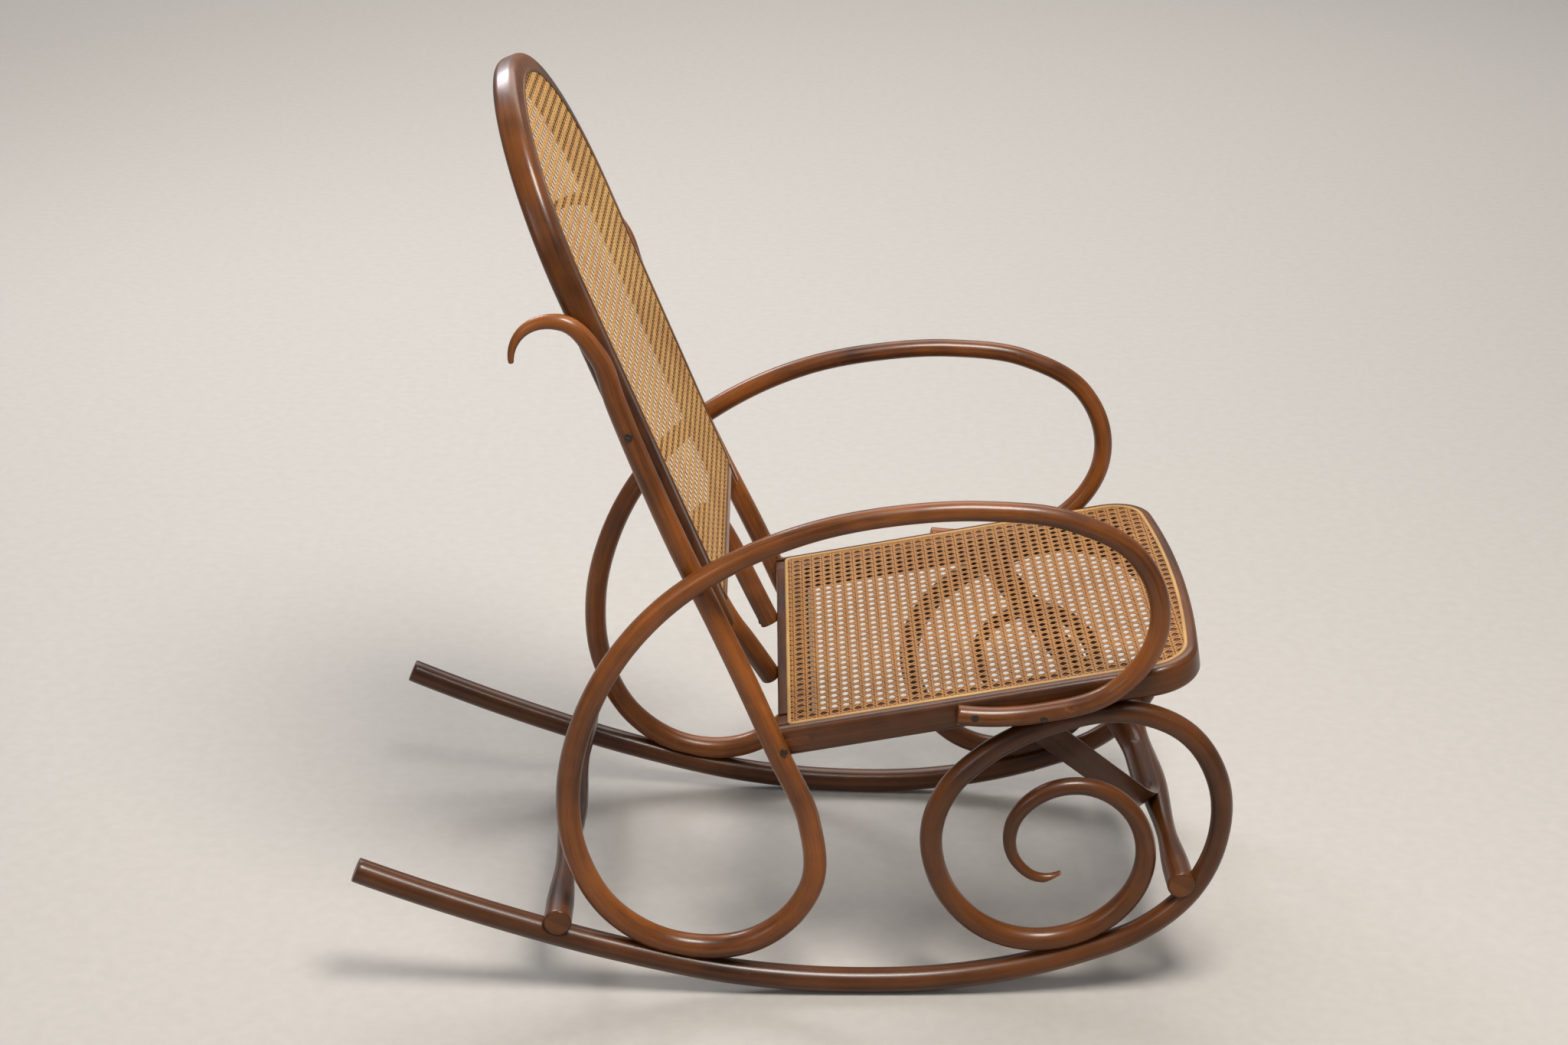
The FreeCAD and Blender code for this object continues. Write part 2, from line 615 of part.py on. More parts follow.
def main():
    os.makedirs("parts", exist_ok=True)
    rocker = rocker_side()
    arm = arm_side()
    rim, rail, seat_cane, seat_spline = seat_frame()
    hoop, crossbar, back_cane, back_spline = back_frame()
    stretchers = []
    centres = []
    for x, bar_r, depth in (
        (FRONT_STRETCHER_X, RISE_R, FRONT_NOTCH_DEPTH), (REAR_STRETCHER_X, ROCKER_R, REAR_NOTCH_DEPTH),
    ):
        z, slope = point_on(ROCKER_POINTS, x)
        half = rocker_half_width(x)
        inward = V(-math.sin(slope), 0, math.cos(slope))
        on_bar = V(x, -half, z)
        centre = V(x, 0, z) + inward * (bar_r + STRETCHER_END_R - depth)
        stretcher = turned_stretcher(centre.x, centre.z, half + bar_r + STRETCHER_PROUD)
        along = V(math.cos(slope), ROCKER_SPLAY * math.cos(slope), math.sin(slope))
        saddle_r = bar_r + SADDLE_EASE
        saddle = Part.makeCylinder(saddle_r, 6 * bar_r, on_bar - along * 3 * bar_r, along)
        stretchers.append(stretcher.cut(saddle).cut(mirrored(saddle)))
        centres.append(centre)
    support, foot = support_hoop()
    brace = brace_hoop(centres[0])
    nodes = {
        "rocker_scroll_right": rocker, "arm_loop_right": arm,
        "seat_rim": rim, "seat_rear_rail": rail, "seat_cane": seat_cane, "seat_spline": seat_spline,
        "back_hoop": hoop, "back_crossbar": crossbar, "back_cane": back_cane, "back_spline": back_spline,
        "front_stretcher": stretchers[0], "rear_stretcher": stretchers[1],
        "rear_support_hoop": support, "front_brace_hoop": brace,
    }
    hosts = {
        "arm_seat_screws": ("arm_loop_right", "seat_rim"),
        "stile_seat_screws": ("arm_loop_right", "seat_rim", "seat_rear_rail"),
        "rocker_screws": ("rocker_scroll_right", "arm_loop_right"),
        "support_hoop_screws": ("rear_support_hoop", "seat_rear_rail"),
    }
    for group, places in right_screws(foot).items():
        screws = [screw(*place) for place in places]
        nodes[group] = Part.Compound(screws + [mirrored(one) for one in screws])
        for place in places:
            hole = screw(*place, SCREW_GAP)
            for host in hosts[group]:
                nodes[host] = nodes[host].cut(hole)
                if not host.endswith("_right"):
                    nodes[host] = nodes[host].cut(mirrored(hole))
    for name in ("rocker_scroll", "arm_loop"):
        nodes[name + "_left"] = mirrored(nodes[name + "_right"])
    reach = rocker.optimalBoundingBox()
    home = V(-(reach.XMin + reach.XMax) / 2, 0, -reach.ZMin)
    print(home)
    for name, shape in nodes.items():
        shape.translate(home)
        shape.exportStep("parts/" + name + ".step")


main()
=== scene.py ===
import math

import bpy
import numpy as np
from mathutils import Matrix


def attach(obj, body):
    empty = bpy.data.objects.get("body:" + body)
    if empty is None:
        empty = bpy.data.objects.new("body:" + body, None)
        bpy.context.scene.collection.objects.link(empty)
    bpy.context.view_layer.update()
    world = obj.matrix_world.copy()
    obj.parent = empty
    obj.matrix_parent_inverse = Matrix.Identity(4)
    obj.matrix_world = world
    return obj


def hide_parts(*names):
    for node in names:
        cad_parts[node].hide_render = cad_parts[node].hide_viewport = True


bl_info = {
    "name": "Bentwood rocking chair",
    "version": (1, 0, 0),
    "blender": (4, 5, 0),
    "location": "3D View > Sidebar > Chair",
    "description": "Steam-bent rocking chair with woven cane seat and back",
    "category": "Object",
}

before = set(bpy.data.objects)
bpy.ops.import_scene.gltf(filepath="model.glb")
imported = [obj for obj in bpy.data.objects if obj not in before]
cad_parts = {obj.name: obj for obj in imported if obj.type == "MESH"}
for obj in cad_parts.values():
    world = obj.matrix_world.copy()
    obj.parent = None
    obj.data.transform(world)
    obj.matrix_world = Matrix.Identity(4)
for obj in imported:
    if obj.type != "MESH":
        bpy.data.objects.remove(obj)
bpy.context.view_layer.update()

MM = 0.001
HOME = np.array([-55.306, 0.0, -0.402])

# Side view of each bent bar in millimetres: forward, up, radius.
ROCKER = [
    (-426, 158, 14.1), (-286, 103.5, 14.3), (-142, 57.5, 14.4), (6, 24, 14.4), (125, 14.8, 14.2),
    (245, 20.5, 14.2), (312, 32.5, 14.2), (385, 54.2, 14.0), (449.1, 81.6, 12.8), (503.3, 133.1, 12.3),
    (529, 204, 11.6), (521.4, 278, 12.4), (477, 339, 12.6),
]
SCROLL = [
    (440, 356, 12.6), (400, 361, 12.6), (350, 351, 12.4), (300, 330, 12.3), (258, 301, 12.4),
    (226, 264, 12.8), (210, 217, 12.7), (215, 166, 12.2), (238, 119.7, 12.5), (276, 85.3, 13.0),
    (324, 70, 13.0), (375.6, 77, 12.8), (419, 105, 12.8), (446, 149, 12.3), (447, 200, 11.1),
    (421, 245, 10.4), (376.6, 267, 9.8), (327, 256, 9.6), (298, 216, 8.2), (309, 167, 6.3),
    (332, 151, 5.6), (358, 155, 5.2),
]
# The arm, loop, stile and hook: forward, half width, up, radius.
ARM = [
    (229.6, 237.6, 361, 11), (317, 237.6, 364.5, 11.1), (398, 240, 395.6, 11.1), (438, 243, 470.7, 11),
    (410, 245, 553, 10.8), (336, 248, 595, 10.8), (249, 250, 605.5, 10.7), (160, 250, 599.5, 10.8),
    (75, 250, 581, 10.9), (-5, 248.5, 546.4, 11.4), (-78, 247, 495.3, 12), (-134, 244, 428.7, 12.2),
    (-172, 242, 350.5, 12.8), (-190, 240, 264.5, 13.2), (-181, 237, 176, 13.2), (-139, 234, 101, 13.6),
    (-63, 231, 60, 13.7), (22, 232, 72, 13.8), (77, 233, 138, 13.1), (73.5, 235, 223.7, 12.7),
    (39.6, 238, 306, 12.5), (5, 229.5, 384, 12.5), (-32.5, 222, 463.5, 12), (-70, 221.6, 543.8, 12),
    (-104.7, 221.3, 625, 11.6), (-137, 221, 706.6, 11.1), (-155, 221, 757, 10.2),
    (-193, 221, 793, 8.6), (-234, 221, 779, 5.4), (-243, 221, 748, 2.9),
]
# Half of the hoop behind the seat, from its top: half width, distance down.
SUPPORT = [(0, 0), (40, 3), (76, 15), (99, 42), (101, 76), (88, 110)]
SUPPORT_R, SUPPORT_FOOT_Y, SUPPORT_FOOT_DOWN, SUPPORT_TAIL, SUPPORT_TOP = 12.0, 69.0, 7.5, 6.0, 36.0

SEAT_AT = (37.0, 332.4, 11.4)
SEAT_LONG, SEAT_HALF, SEAT_CORNER, SEAT_BOW = 476.0, 228.0, 58.0, 1500.0
RAIL_HIGH, RAIL_WIDE = 34.0, 38.0
REED_IN, REED_WIDE = 10.5, 4.6
BACK_AT = (-12.0, 449.4, 23.0)
BACK_HALF, BACK_TALL, BACK_DEEP, BACK_STOCK = 210.0, 612.0, 29.0, 30.0
BACK_REED = BACK_STOCK - REED_IN
BAR_UP, BAR_HIGH, BAR_DEEP = 16.0, 28.0, 20.0
BRACE_WIDE, BRACE_THICK, BRACE_FLAT, BRACE_BEND = 33.0, 15.0, 44.0, 62.0
BRACE_TOP_X, BRACE_TOP_INSET, BRACE_SUNK = 297.0, 29.0, 6.0
# Each stretcher: its place along the rocker, the rocker's radius there, how deep it lies in.
STRETCHERS = {"front": (506.5, 12.6, 10.4), "rear": (-210.0, 14.4, 9.0)}
STRETCHER_END_R, STRETCHER_WAIST_R, STRETCHER_MID_R = 15.8, 11.5, 17.0
STRETCHER_END, STRETCHER_PROUD, STRETCHER_BEVEL, STRETCHER_GIRTH = 34.8, 0.6, 2.5, 100.0
ROCKER_HALF, ROCKER_SPLAY, ROCKER_R = 232.0, 0.022, 14.4
FLAT_GAP, ROUND_GAP = 0.1, 0.3
LOOP_SEAT_X, SCROLL_SEAT_X = -63.0, 373.0
FOCAL_PIXELS, PICTURE_WIDTH = 3237, 2048
CANE_PITCH, CANE_LEVEL, CANE_THICK = 12.7, -0.5, 0.5
STRAIGHT_LIFT, SLANTED_LIFT, SLANTED_THICK = 0.3, 0.42, 0.45
GROOVE_DEEP, PANEL_FOOT = 3.0, 1.3
TENON_PROUD, TENON_FROM, TENON_TO, TENON_UNDER, TENON_HIGH = 0.25, 5.5, 32.5, 12.0, 10.0
SCREW_R, SCREW_SLOT_HALF, SCREW_SLOT_DEEP = 4.2, 0.42, 0.55
# Flats planed on the bars. Each ends in its reach and the first point of the bar that it may cut.
# Before these, an arm's flat has its place along, its partner's half width and its height.
ARM_FLATS = (270, SEAT_HALF, 362, 80, 0), (44, SEAT_HALF, 316, 46, 19), (-85, BACK_HALF, 590, 160, 21)
LOOP_FLAT, SCROLL_FLAT, RAIL_FLAT = (45, 14), (48, 20), (60, 13)
RAIL_BEARING_X, RAIL_BEARING_HALF = 384.0, 223.0
CURL_CUT = ((350, -224.3, 153.5), (0.526, 0, -0.85), 30, 33)
FOOT_FLAT_DOWN, FOOT_FLAT, BAR_FLAT_UP, BAR_FLAT = 8.0, (40, 0), 30.0, (90, 0)
SUPPORT_PLANED = 0.8
# Screws as places along the chair with the turn of the slot, then their height and place outwards.
ARM_SCREWS, ARM_SCREW_UP, ARM_SCREW_OUT = ((248, 0.5), (322, 1.7)), 362.5, 248.4
STILE_SCREWS, STILE_SCREW_UP, STILE_SCREW_OUT = ((44.0, 1.1),), 318.0, 250.0
ROCKER_SCREWS, ROCKER_SCREW_SUNK = ((LOOP_SEAT_X, 0.3), (SCROLL_SEAT_X, 1.4)), 0.3
BACK_SCREWS, BACK_SCREW_OUT = ((60, 0.2), (250, 1.2)), 23.3
HOOP_SCREW_TURN, HOOP_SCREW_SUNK = 0.9, 1.1


def unit(v):
    return v / np.linalg.norm(v, axis=-1, keepdims=True)


def smooth_line(points, steps=24):
    """A smooth line through points, and how far along each given point lies.

    Each inner point's direction is the tangent of the circle through it and its neighbours.
    Between two points runs a cubic whose end speeds are chord / cos(turn / 4) squared, which
    follows a circular arc to a tenth of a millimetre."""
    p = np.asarray(points, float)
    chord = np.diff(p, axis=0)
    size = np.linalg.norm(chord, axis=1, keepdims=True)
    ahead = chord / size
    inner = unit(ahead[:-1] * size[1:] + ahead[1:] * size[:-1])
    first = ahead[0] * 2 * (ahead[0] @ inner[0]) - inner[0]
    last = ahead[-1] * 2 * (ahead[-1] @ inner[-1]) - inner[-1]
    way = np.vstack([first, inner, last])
    turn = np.arccos(np.clip((way[:-1] * way[1:]).sum(1), -1, 1))[:, None]
    speed = size / np.cos(turn / 4) ** 2
    t = np.linspace(0, 1, steps, endpoint=False)[None, :, None]
    a, b = p[:-1, None], p[1:, None]
    u, w = (way[:-1] * speed)[:, None], (way[1:] * speed)[:, None]
    line = (2 * t**3 - 3 * t**2 + 1) * a + (t**3 - 2 * t**2 + t) * u
    line = line + (3 * t**2 - 2 * t**3) * b + (t**3 - t**2) * w
    line = np.vstack([line.reshape(-1, 3), p[-1:]])
    run = length_of(line)
    return line, run, run[np.arange(len(p)) * steps]


def along(line):
    """Unit direction of a line at each of its points, from the differences of its neighbours."""
    return unit(np.gradient(line, axis=0))


def sweep(line, outline, side):
    """Carries a closed outline along a line.

    Each section stands square to the line, with its first axis as near to side as that allows.
    outline has one (across, over) pair for each section and corner, shape (n, k, 2)."""
    t = along(line)
    side = np.broadcast_to(np.asarray(side, float), t.shape)
    first = unit(side - t * (side * t).sum(1, keepdims=True))
    second = np.cross(t, first)
    return line[:, None] + outline[..., :1] * first[:, None] + outline[..., 1:] * second[:, None]


def round_section(radius, count=28):
    """A circle for each radius, as (across, over) pairs: radius times (cos, sin)."""
    a = np.linspace(0, 2 * math.pi, count, endpoint=False)
    return np.asarray(radius)[:, None, None] * np.stack([np.cos(a), np.sin(a)], -1)


def with_ends(line, radius, bevel=1.5):
    """Rounds both ends of a round bar: over the bevel the radius grows as a quarter circle.

    At a turn q of the quarter circle a section lies bevel * (1 - cos q) from the end and its
    radius is short by bevel * (1 - sin q)."""
    run = length_of(line)
    q = np.linspace(0, math.pi / 2, 5)[:-1]
    inset = (1 - np.cos(q)) * bevel
    short = (1 - np.sin(q)) * bevel
    keep = (run > bevel) & (run < run[-1] - bevel)
    t = along(line)
    head = line[0] + t[0] * inset[:, None]
    tail = line[-1] - t[-1] * inset[::-1, None]
    line = np.vstack([head, line[keep], tail])
    radius = np.r_[radius[0] - short, radius[keep], radius[-1] - short[::-1]]
    return line, radius


def length_of(line):
    """How far along a line each of its points lies."""
    return np.r_[0, np.cumsum(np.linalg.norm(np.diff(line, axis=0), axis=1))]


def press(points, at, normal, near):
    """Planes a surface flat: points within near of at that stand beyond the plane drop onto it."""
    at, normal = np.asarray(at, float), unit(np.asarray(normal, float))
    over = ((points - at) @ normal).clip(0)
    over = over * (np.linalg.norm(points - at, axis=-1) < near)
    return points - over[..., None] * normal


def grid_mesh(name, grid, run=None, girth=None, loop=False):
    """A mesh over a grid of points, shape (rows, columns, 3), in millimetres.

    The last column joins the first. loop joins the last row to the first as well, and otherwise
    a fan fills each end. The map gives distance along and around in metres."""
    rows, cols = grid.shape[:2]
    verts = grid.reshape(-1, 3)
    r = np.arange(rows if loop else rows - 1)
    c = np.arange(cols)
    r, c = [m.ravel() for m in np.meshgrid(r, c, indexing="ij")]
    r1, c1 = (r + 1) % rows, (c + 1) % cols
    quads = np.stack([r * cols + c, r * cols + c1, r1 * cols + c1, r1 * cols + c], 1)
    if run is None:
        run = np.r_[0, np.cumsum(np.linalg.norm(np.diff(grid, axis=0), axis=2).mean(1))]
    if girth is None:
        girth = np.r_[0, np.cumsum(np.linalg.norm(np.diff(grid, axis=1), axis=2).max(0))]
        girth = np.r_[girth, girth[-1] + np.linalg.norm(grid[:, 0] - grid[:, -1], axis=1).max()]
    run = np.r_[run, run[-1] * 2 - run[-2]] * MM
    girth = np.r_[girth, girth[-1]] * MM
    u = run[np.stack([r, r, r + 1, r + 1], 1)]
    v = girth[np.stack([c, c + 1, c + 1, c], 1)]
    faces, maps = [quads], [np.stack([u, v], -1)]
    if not loop:
        verts = np.vstack([verts, grid[0].mean(0), grid[-1].mean(0)])
        c = np.arange(cols)
        c1 = (c + 1) % cols
        for pole, row, a, b in ((rows * cols, 0, c1, c), (rows * cols + 1, rows - 1, c, c1)):
            fan = np.stack([np.full(cols, pole), row * cols + a, row * cols + b, row * cols + b], 1)
            faces.append(fan)
            flat = (verts[fan] - verts[pole]) * MM
            across = unit(np.cross([0.3, 0.1, 1.0], grid[1, 0] - grid[0, 0]))
            maps.append(np.stack([flat @ across * 0.2, flat @ np.array([0.2, 1, 0.4])], -1))
    return build(name, verts, np.vstack(faces), np.vstack(maps))


def build(name, verts, faces, maps=None):
    """Puts corners, faces of four (a repeated last corner makes three) and a map into a mesh."""
    triangle = faces[:, 2] == faces[:, 3]
    size = np.where(triangle, 3, 4)
    use = np.ones(faces.shape, bool)
    use[triangle, 3] = False
    mesh = bpy.data.meshes.new(name)
    mesh.vertices.add(len(verts))
    mesh.vertices.foreach_set("co", ((verts + HOME) * MM).astype(np.float32).ravel())
    mesh.loops.add(int(size.sum()))
    mesh.loops.foreach_set("vertex_index", faces[use].astype(np.int32))
    mesh.polygons.add(len(faces))
    mesh.polygons.foreach_set("loop_start", np.r_[0, np.cumsum(size)[:-1]].astype(np.int32))
    mesh.polygons.foreach_set("use_smooth", np.ones(len(faces), bool))
    if maps is not None:
        layer = mesh.uv_layers.new(name="Grain")
        layer.data.foreach_set("uv", maps[use].astype(np.float32).ravel())
    mesh.update(calc_edges=True)
    mesh.validate()
    obj = bpy.data.objects.new(name, mesh)
    bpy.context.scene.collection.objects.link(obj)
    return obj


def dress(obj, material, slot, *nodes):
    """Gives a piece its material and its place on the frame."""
    obj.data.materials.clear()
    obj.data.materials.append(material)
    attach(obj, "root")
    if nodes:
        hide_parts(*nodes)
    return obj


def soft_corners(obj, angle=38):
    """Shades a piece smooth but keeps edges sharper than angle crisp."""
    obj.data.set_sharp_from_angle(angle=math.radians(angle))
    return obj


def pale_ends(obj, cols):
    """Gives the two fans that close a bar the colour of a cut end."""
    obj.data.materials.append(finish_of("end_grain"))
    kinds = np.zeros(len(obj.data.polygons), np.int32)
    kinds[-2 * cols:] = 1
    obj.data.polygons.foreach_set("material_index", kinds)
    return obj


def mirrored(points):
    """The same points on the sitter's left: across changes sign and the columns run backwards."""
    return (points * [1, -1, 1])[:, ::-1]


def turned(local, at):
    """Seat and back places to chair places: (forward, across, up) turned back about Y."""
    x, z, degrees = at
    a = math.radians(degrees)
    f, y, u = local[..., 0], local[..., 1], local[..., 2]
    return np.stack([x + f * math.cos(a) - u * math.sin(a), y, z + f * math.sin(a) + u * math.cos(a)], -1)


# Shader maths


class Wire:
    """An output socket that can be added, multiplied and compared like a number."""

    def __init__(self, tree, socket):
        self.tree = tree
        self.socket = socket

    def maths(self, operation, other=None, swap=False):
        inputs = [self] if other is None else [other, self] if swap else [self, other]
        return self.tree.make("Math", {"operation": operation}, inputs)

    def __add__(self, other):
        return self.maths("ADD", other)

    __radd__ = __add__

    def __sub__(self, other):
        return self.maths("SUBTRACT", other)

    def __rsub__(self, other):
        return self.maths("SUBTRACT", other, swap=True)

    def __mul__(self, other):
        return self.maths("MULTIPLY", other)

    __rmul__ = __mul__

    def clamp(self):
        return self.tree.make("Clamp", {}, [self])


class Finish:
    """A material and the nodes that make it."""

    def __init__(self, name):
        self.material = bpy.data.materials.new(name)
        self.material.use_nodes = True
        self.tree = self.material.node_tree
        self.tree.nodes.clear()
        self.surface = self.tree.nodes.new("ShaderNodeBsdfPrincipled")
        output = self.tree.nodes.new("ShaderNodeOutputMaterial")
        self.tree.links.new(self.surface.outputs[0], output.inputs[0])

    def make(self, kind, settings, inputs, output=0):
        """One node: its settings are set first, then its inputs by number or by name."""
        node = self.tree.nodes.new("ShaderNode" + kind)
        for name, value in settings.items():
            setattr(node, name, value)
        pairs = inputs.items() if isinstance(inputs, dict) else enumerate(inputs)
        for key, value in pairs:
            self.feed(node.inputs[key], value)
        return Wire(self, node.outputs[output])

    def feed(self, socket, value):
        if isinstance(value, Wire):
            self.tree.links.new(value.socket, socket)
        elif value is not None:
            socket.default_value = value

    def set(self, **inputs):
        for name, value in inputs.items():
            self.feed(self.surface.inputs[name.replace("_", " ")], value)

    def where(self):
        return self.make("TexCoord", {}, [], "Object")

    def grain(self):
        return self.make("UVMap", {"uv_map": "Grain"}, [])

    def stretched(self, vector, scale):
        return self.make("VectorMath", {"operation": "MULTIPLY"}, [vector, scale])

    def noise(self, vector, scale, detail=3.0, rough=0.55):
        inputs = {"Vector": vector, "Scale": scale, "Detail": detail, "Roughness": rough}
        return self.make("TexNoise", {}, inputs, "Fac")

    def mix(self, factor, a, b):
        inputs = {0: factor, 6: rgba(a), 7: rgba(b)}
        return self.make("Mix", {"data_type": "RGBA"}, inputs, 2)

    def bump(self, height, strength, distance):
        inputs = {"Height": height, "Strength": strength, "Distance": distance}
        return self.make("Bump", {}, inputs)


def rgba(value):
    return value if isinstance(value, Wire) else (*value[:3], 1.0)


def varnished_wood(name, dark, light, gloss=0.24, cloudy=1.9):
    """Stained and varnished beech: streaks along the bar, fine flecks, and cloudy stain."""
    f = Finish(name)
    uv, place = f.grain(), f.where()
    streak = f.noise(f.stretched(uv, (5.0, 130.0, 1.0)), 1.0, 5.0, 0.6)
    fine = f.noise(f.stretched(uv, (40.0, 900.0, 1.0)), 1.0, 2.0)
    fleck = f.noise(f.stretched(uv, (330.0, 2300.0, 1.0)), 1.0, 1.0)
    blotch = f.noise(place, 4.5, 4.0, 0.6)
    tone = (streak * 1.1 + blotch * cloudy + fine * 0.35 - 0.32 - cloudy * 0.5).clamp()
    colour = f.mix(tone, dark, light)
    flecks = ((fleck - 0.6) * 6.0).clamp() * 0.55
    colour = f.mix(flecks, colour, tuple(c * 0.4 for c in dark))
    rub = ((f.noise(place, 34.0, 5.0, 0.7) - 0.64) * 7.0).clamp() * 0.3
    colour = f.mix(rub, colour, tuple(min(1.0, c * 1.5 + 0.01) for c in light))
    smear = f.noise(place, 16.0, 4.0, 0.6)
    f.set(Base_Color=colour, Roughness=smear * 0.3 + gloss - 0.08 + fleck * 0.05)
    f.set(Coat_Weight=smear * 0.4, Coat_Roughness=0.13, Specular_IOR_Level=0.3)
    height = fine * 0.35 - flecks * 0.5 + smear * 0.6
    f.set(Normal=f.bump(height, 0.2, 0.0006))
    return f.material


def strand_cane(name, pale, brown):
    """Split cane: pale shiny skin with long fibres, darker knots and toned patches."""
    f = Finish(name)
    uv, place = f.grain(), f.where()
    fibre = f.noise(f.stretched(uv, (60.0, 2600.0, 1.0)), 1.0, 3.0)
    patch = f.noise(place, 11.0, 4.0, 0.6)
    strand = f.noise(f.stretched(uv, (9.0, 90.0, 1.0)), 1.0, 2.0)
    tone = (patch * 0.8 + strand * 0.7 + fibre * 0.35 - 0.45).clamp()
    colour = f.mix(tone, brown, pale)
    f.set(Base_Color=colour, Roughness=fibre * 0.2 + 0.38, Specular_IOR_Level=0.45)
    f.set(Normal=f.bump(fibre, 0.25, 0.0003))
    return f.material


def bare_steel(name, colour):
    """Old screw heads: steel with brown grime, in the colour given; the chair gives a very dark colour as
    painted shade of the deep screw holes.
    """
    f = Finish(name)
    grime = f.noise(f.where(), 420.0, 4.0, 0.7)
    f.set(Base_Color=f.mix(grime, colour, (0.03, 0.018, 0.012)), Metallic=0.6)
    f.set(Roughness=grime * 0.4 + 0.25)
    return f.material


MATERIALS = {}


def finish_of(kind):
    """The chair's finishes, each made once from the panel's colours."""
    if kind not in MATERIALS:
        looks = bpy.context.scene.chair_looks
        dark, light = tuple(looks.wood_dark), tuple(looks.wood_light)
        pale, brown, reed = tuple(looks.cane_pale), tuple(looks.cane_brown), tuple(looks.reed)
        makers = {
            # Arm: a lighter copy of the wood, partly painted light falling from above and partly wear; also
            # used on the support hoop and the crossbar.
            "arm": lambda: varnished_wood("arm wood lit and worn", scaled(dark, 1.8), scaled(light, 2.15)),
            "rocker": lambda: varnished_wood("rocker wood", dark, light),
            "rail": lambda: varnished_wood("rail wood", dark, light),
            # Hoop: a darker copy of the wood, painted shade where the back hoop faces away from the light,
            # with strong random blotches.
            "hoop": lambda: varnished_wood("hoop wood shaded", scaled(dark, 0.4), scaled(light, 0.85), cloudy=4.5),
            "end_grain": lambda: varnished_wood("end grain", dark, scaled(light, 1.5), gloss=0.45),
            "cane": lambda: strand_cane("cane", pale, brown),
            "back_cane": lambda: strand_cane("back cane", reed, scaled(brown, 1.3)),
            "reed": lambda: strand_cane("reed", reed, brown),
            "dark_reed": lambda: strand_cane("dark reed", brown, dark),
            # Screw: near-black steel, painted shade of the deep holes the heads sit in; the grime patches are
            # random.
            "screw": lambda: bare_steel("screw steel and hole shade", (0.06, 0.045, 0.035)),
        }
        MATERIALS[kind] = makers[kind]()
    return MATERIALS[kind]


def bent_bar(name, points, radii, flats, material, node, left=False, side=(0, 1, 0)):
    """A round bar along a smooth line, its radius running evenly from point to point.

    Each flat is (a place, the way its plane faces, its reach, the first point it may touch)."""
    line, run, knots = smooth_line(points)
    radius = np.interp(run, knots, radii)
    starts = [line[np.searchsorted(run, knots[k])] for _, _, _, k in flats]
    line, radius = with_ends(line, radius)
    run = length_of(line)
    grid = sweep(line, round_section(radius), side)
    for (at, normal, near, _), start in zip(flats, starts):
        first = np.linalg.norm(line - start, axis=1).argmin()
        grid[first:] = press(grid[first:], at, normal, near)
    if left:
        grid = mirrored(grid)
    girth = np.linspace(0, 2 * math.pi * radius.mean(), grid.shape[1] + 1)
    obj = dress(grid_mesh(name, grid, run, girth), finish_of(material), "beech", node)
    return pale_ends(soft_corners(obj), grid.shape[1])


def scaled(colour, factor):
    """A colour made lighter or darker."""
    return tuple(c * factor for c in colour)


def rocker_line():
    """Points and radii of the right rocker with its scroll."""
    side = ROCKER + SCROLL
    return [(x, -rocker_half(x), z) for x, z, r in side], [r for x, z, r in side]


def arm_line():
    """Points and radii of the right arm with its loop, stile and hook."""
    return [(x, -w, z) for x, w, z, r in ARM], [r for x, w, z, r in ARM]


def rocker_at(x):
    """Height and slope of the rocker's centre line where it passes x."""
    line = smooth_line(rocker_line()[0][:11])[0]
    k = np.searchsorted(line[:, 0], x)
    rise = line[k] - line[k - 1]
    part = (x - line[k - 1, 0]) / rise[0]
    return line[k - 1, 2] + rise[2] * part, math.atan2(rise[2], rise[0])


def on_rocker(x):
    """The plane of the rocker's top at x, for what is planed to sit on it."""
    z, slope = rocker_at(x)
    place = (x, -rocker_half(x), z + (ROCKER_R + ROUND_GAP) / math.cos(slope))
    return place, (math.sin(slope), 0, -math.cos(slope))


def rocker_half(x):
    """Half the distance between the rockers, which draw together towards the front."""
    return ROCKER_HALF - ROCKER_SPLAY * x


def stretcher_centre(name):
    """Middle of a stretcher, square above the rocker by both radii less the notch."""
    x, bar, notch = STRETCHERS[name]
    z, slope = rocker_at(x)
    lift = bar + STRETCHER_END_R - notch
    return np.array([x - math.sin(slope) * lift, 0, z + math.cos(slope) * lift])


def upward(at):
    """Unit vector square to the seat's or the back's own forward axis, upwards."""
    a = math.radians(at[2])
    return np.array([-math.sin(a), 0, math.cos(a)])


def forward(at):
    """Unit vector along the seat's or the back's own forward axis."""
    a = math.radians(at[2])
    return np.array([math.cos(a), 0, math.sin(a)])


def arc(centre, radius, start, stop, count=6):
    """Points on a circle from one angle to another, in degrees."""
    a = np.radians(np.linspace(start, stop, count))
    return np.array(centre) + radius * np.stack([np.cos(a), np.sin(a)], -1)


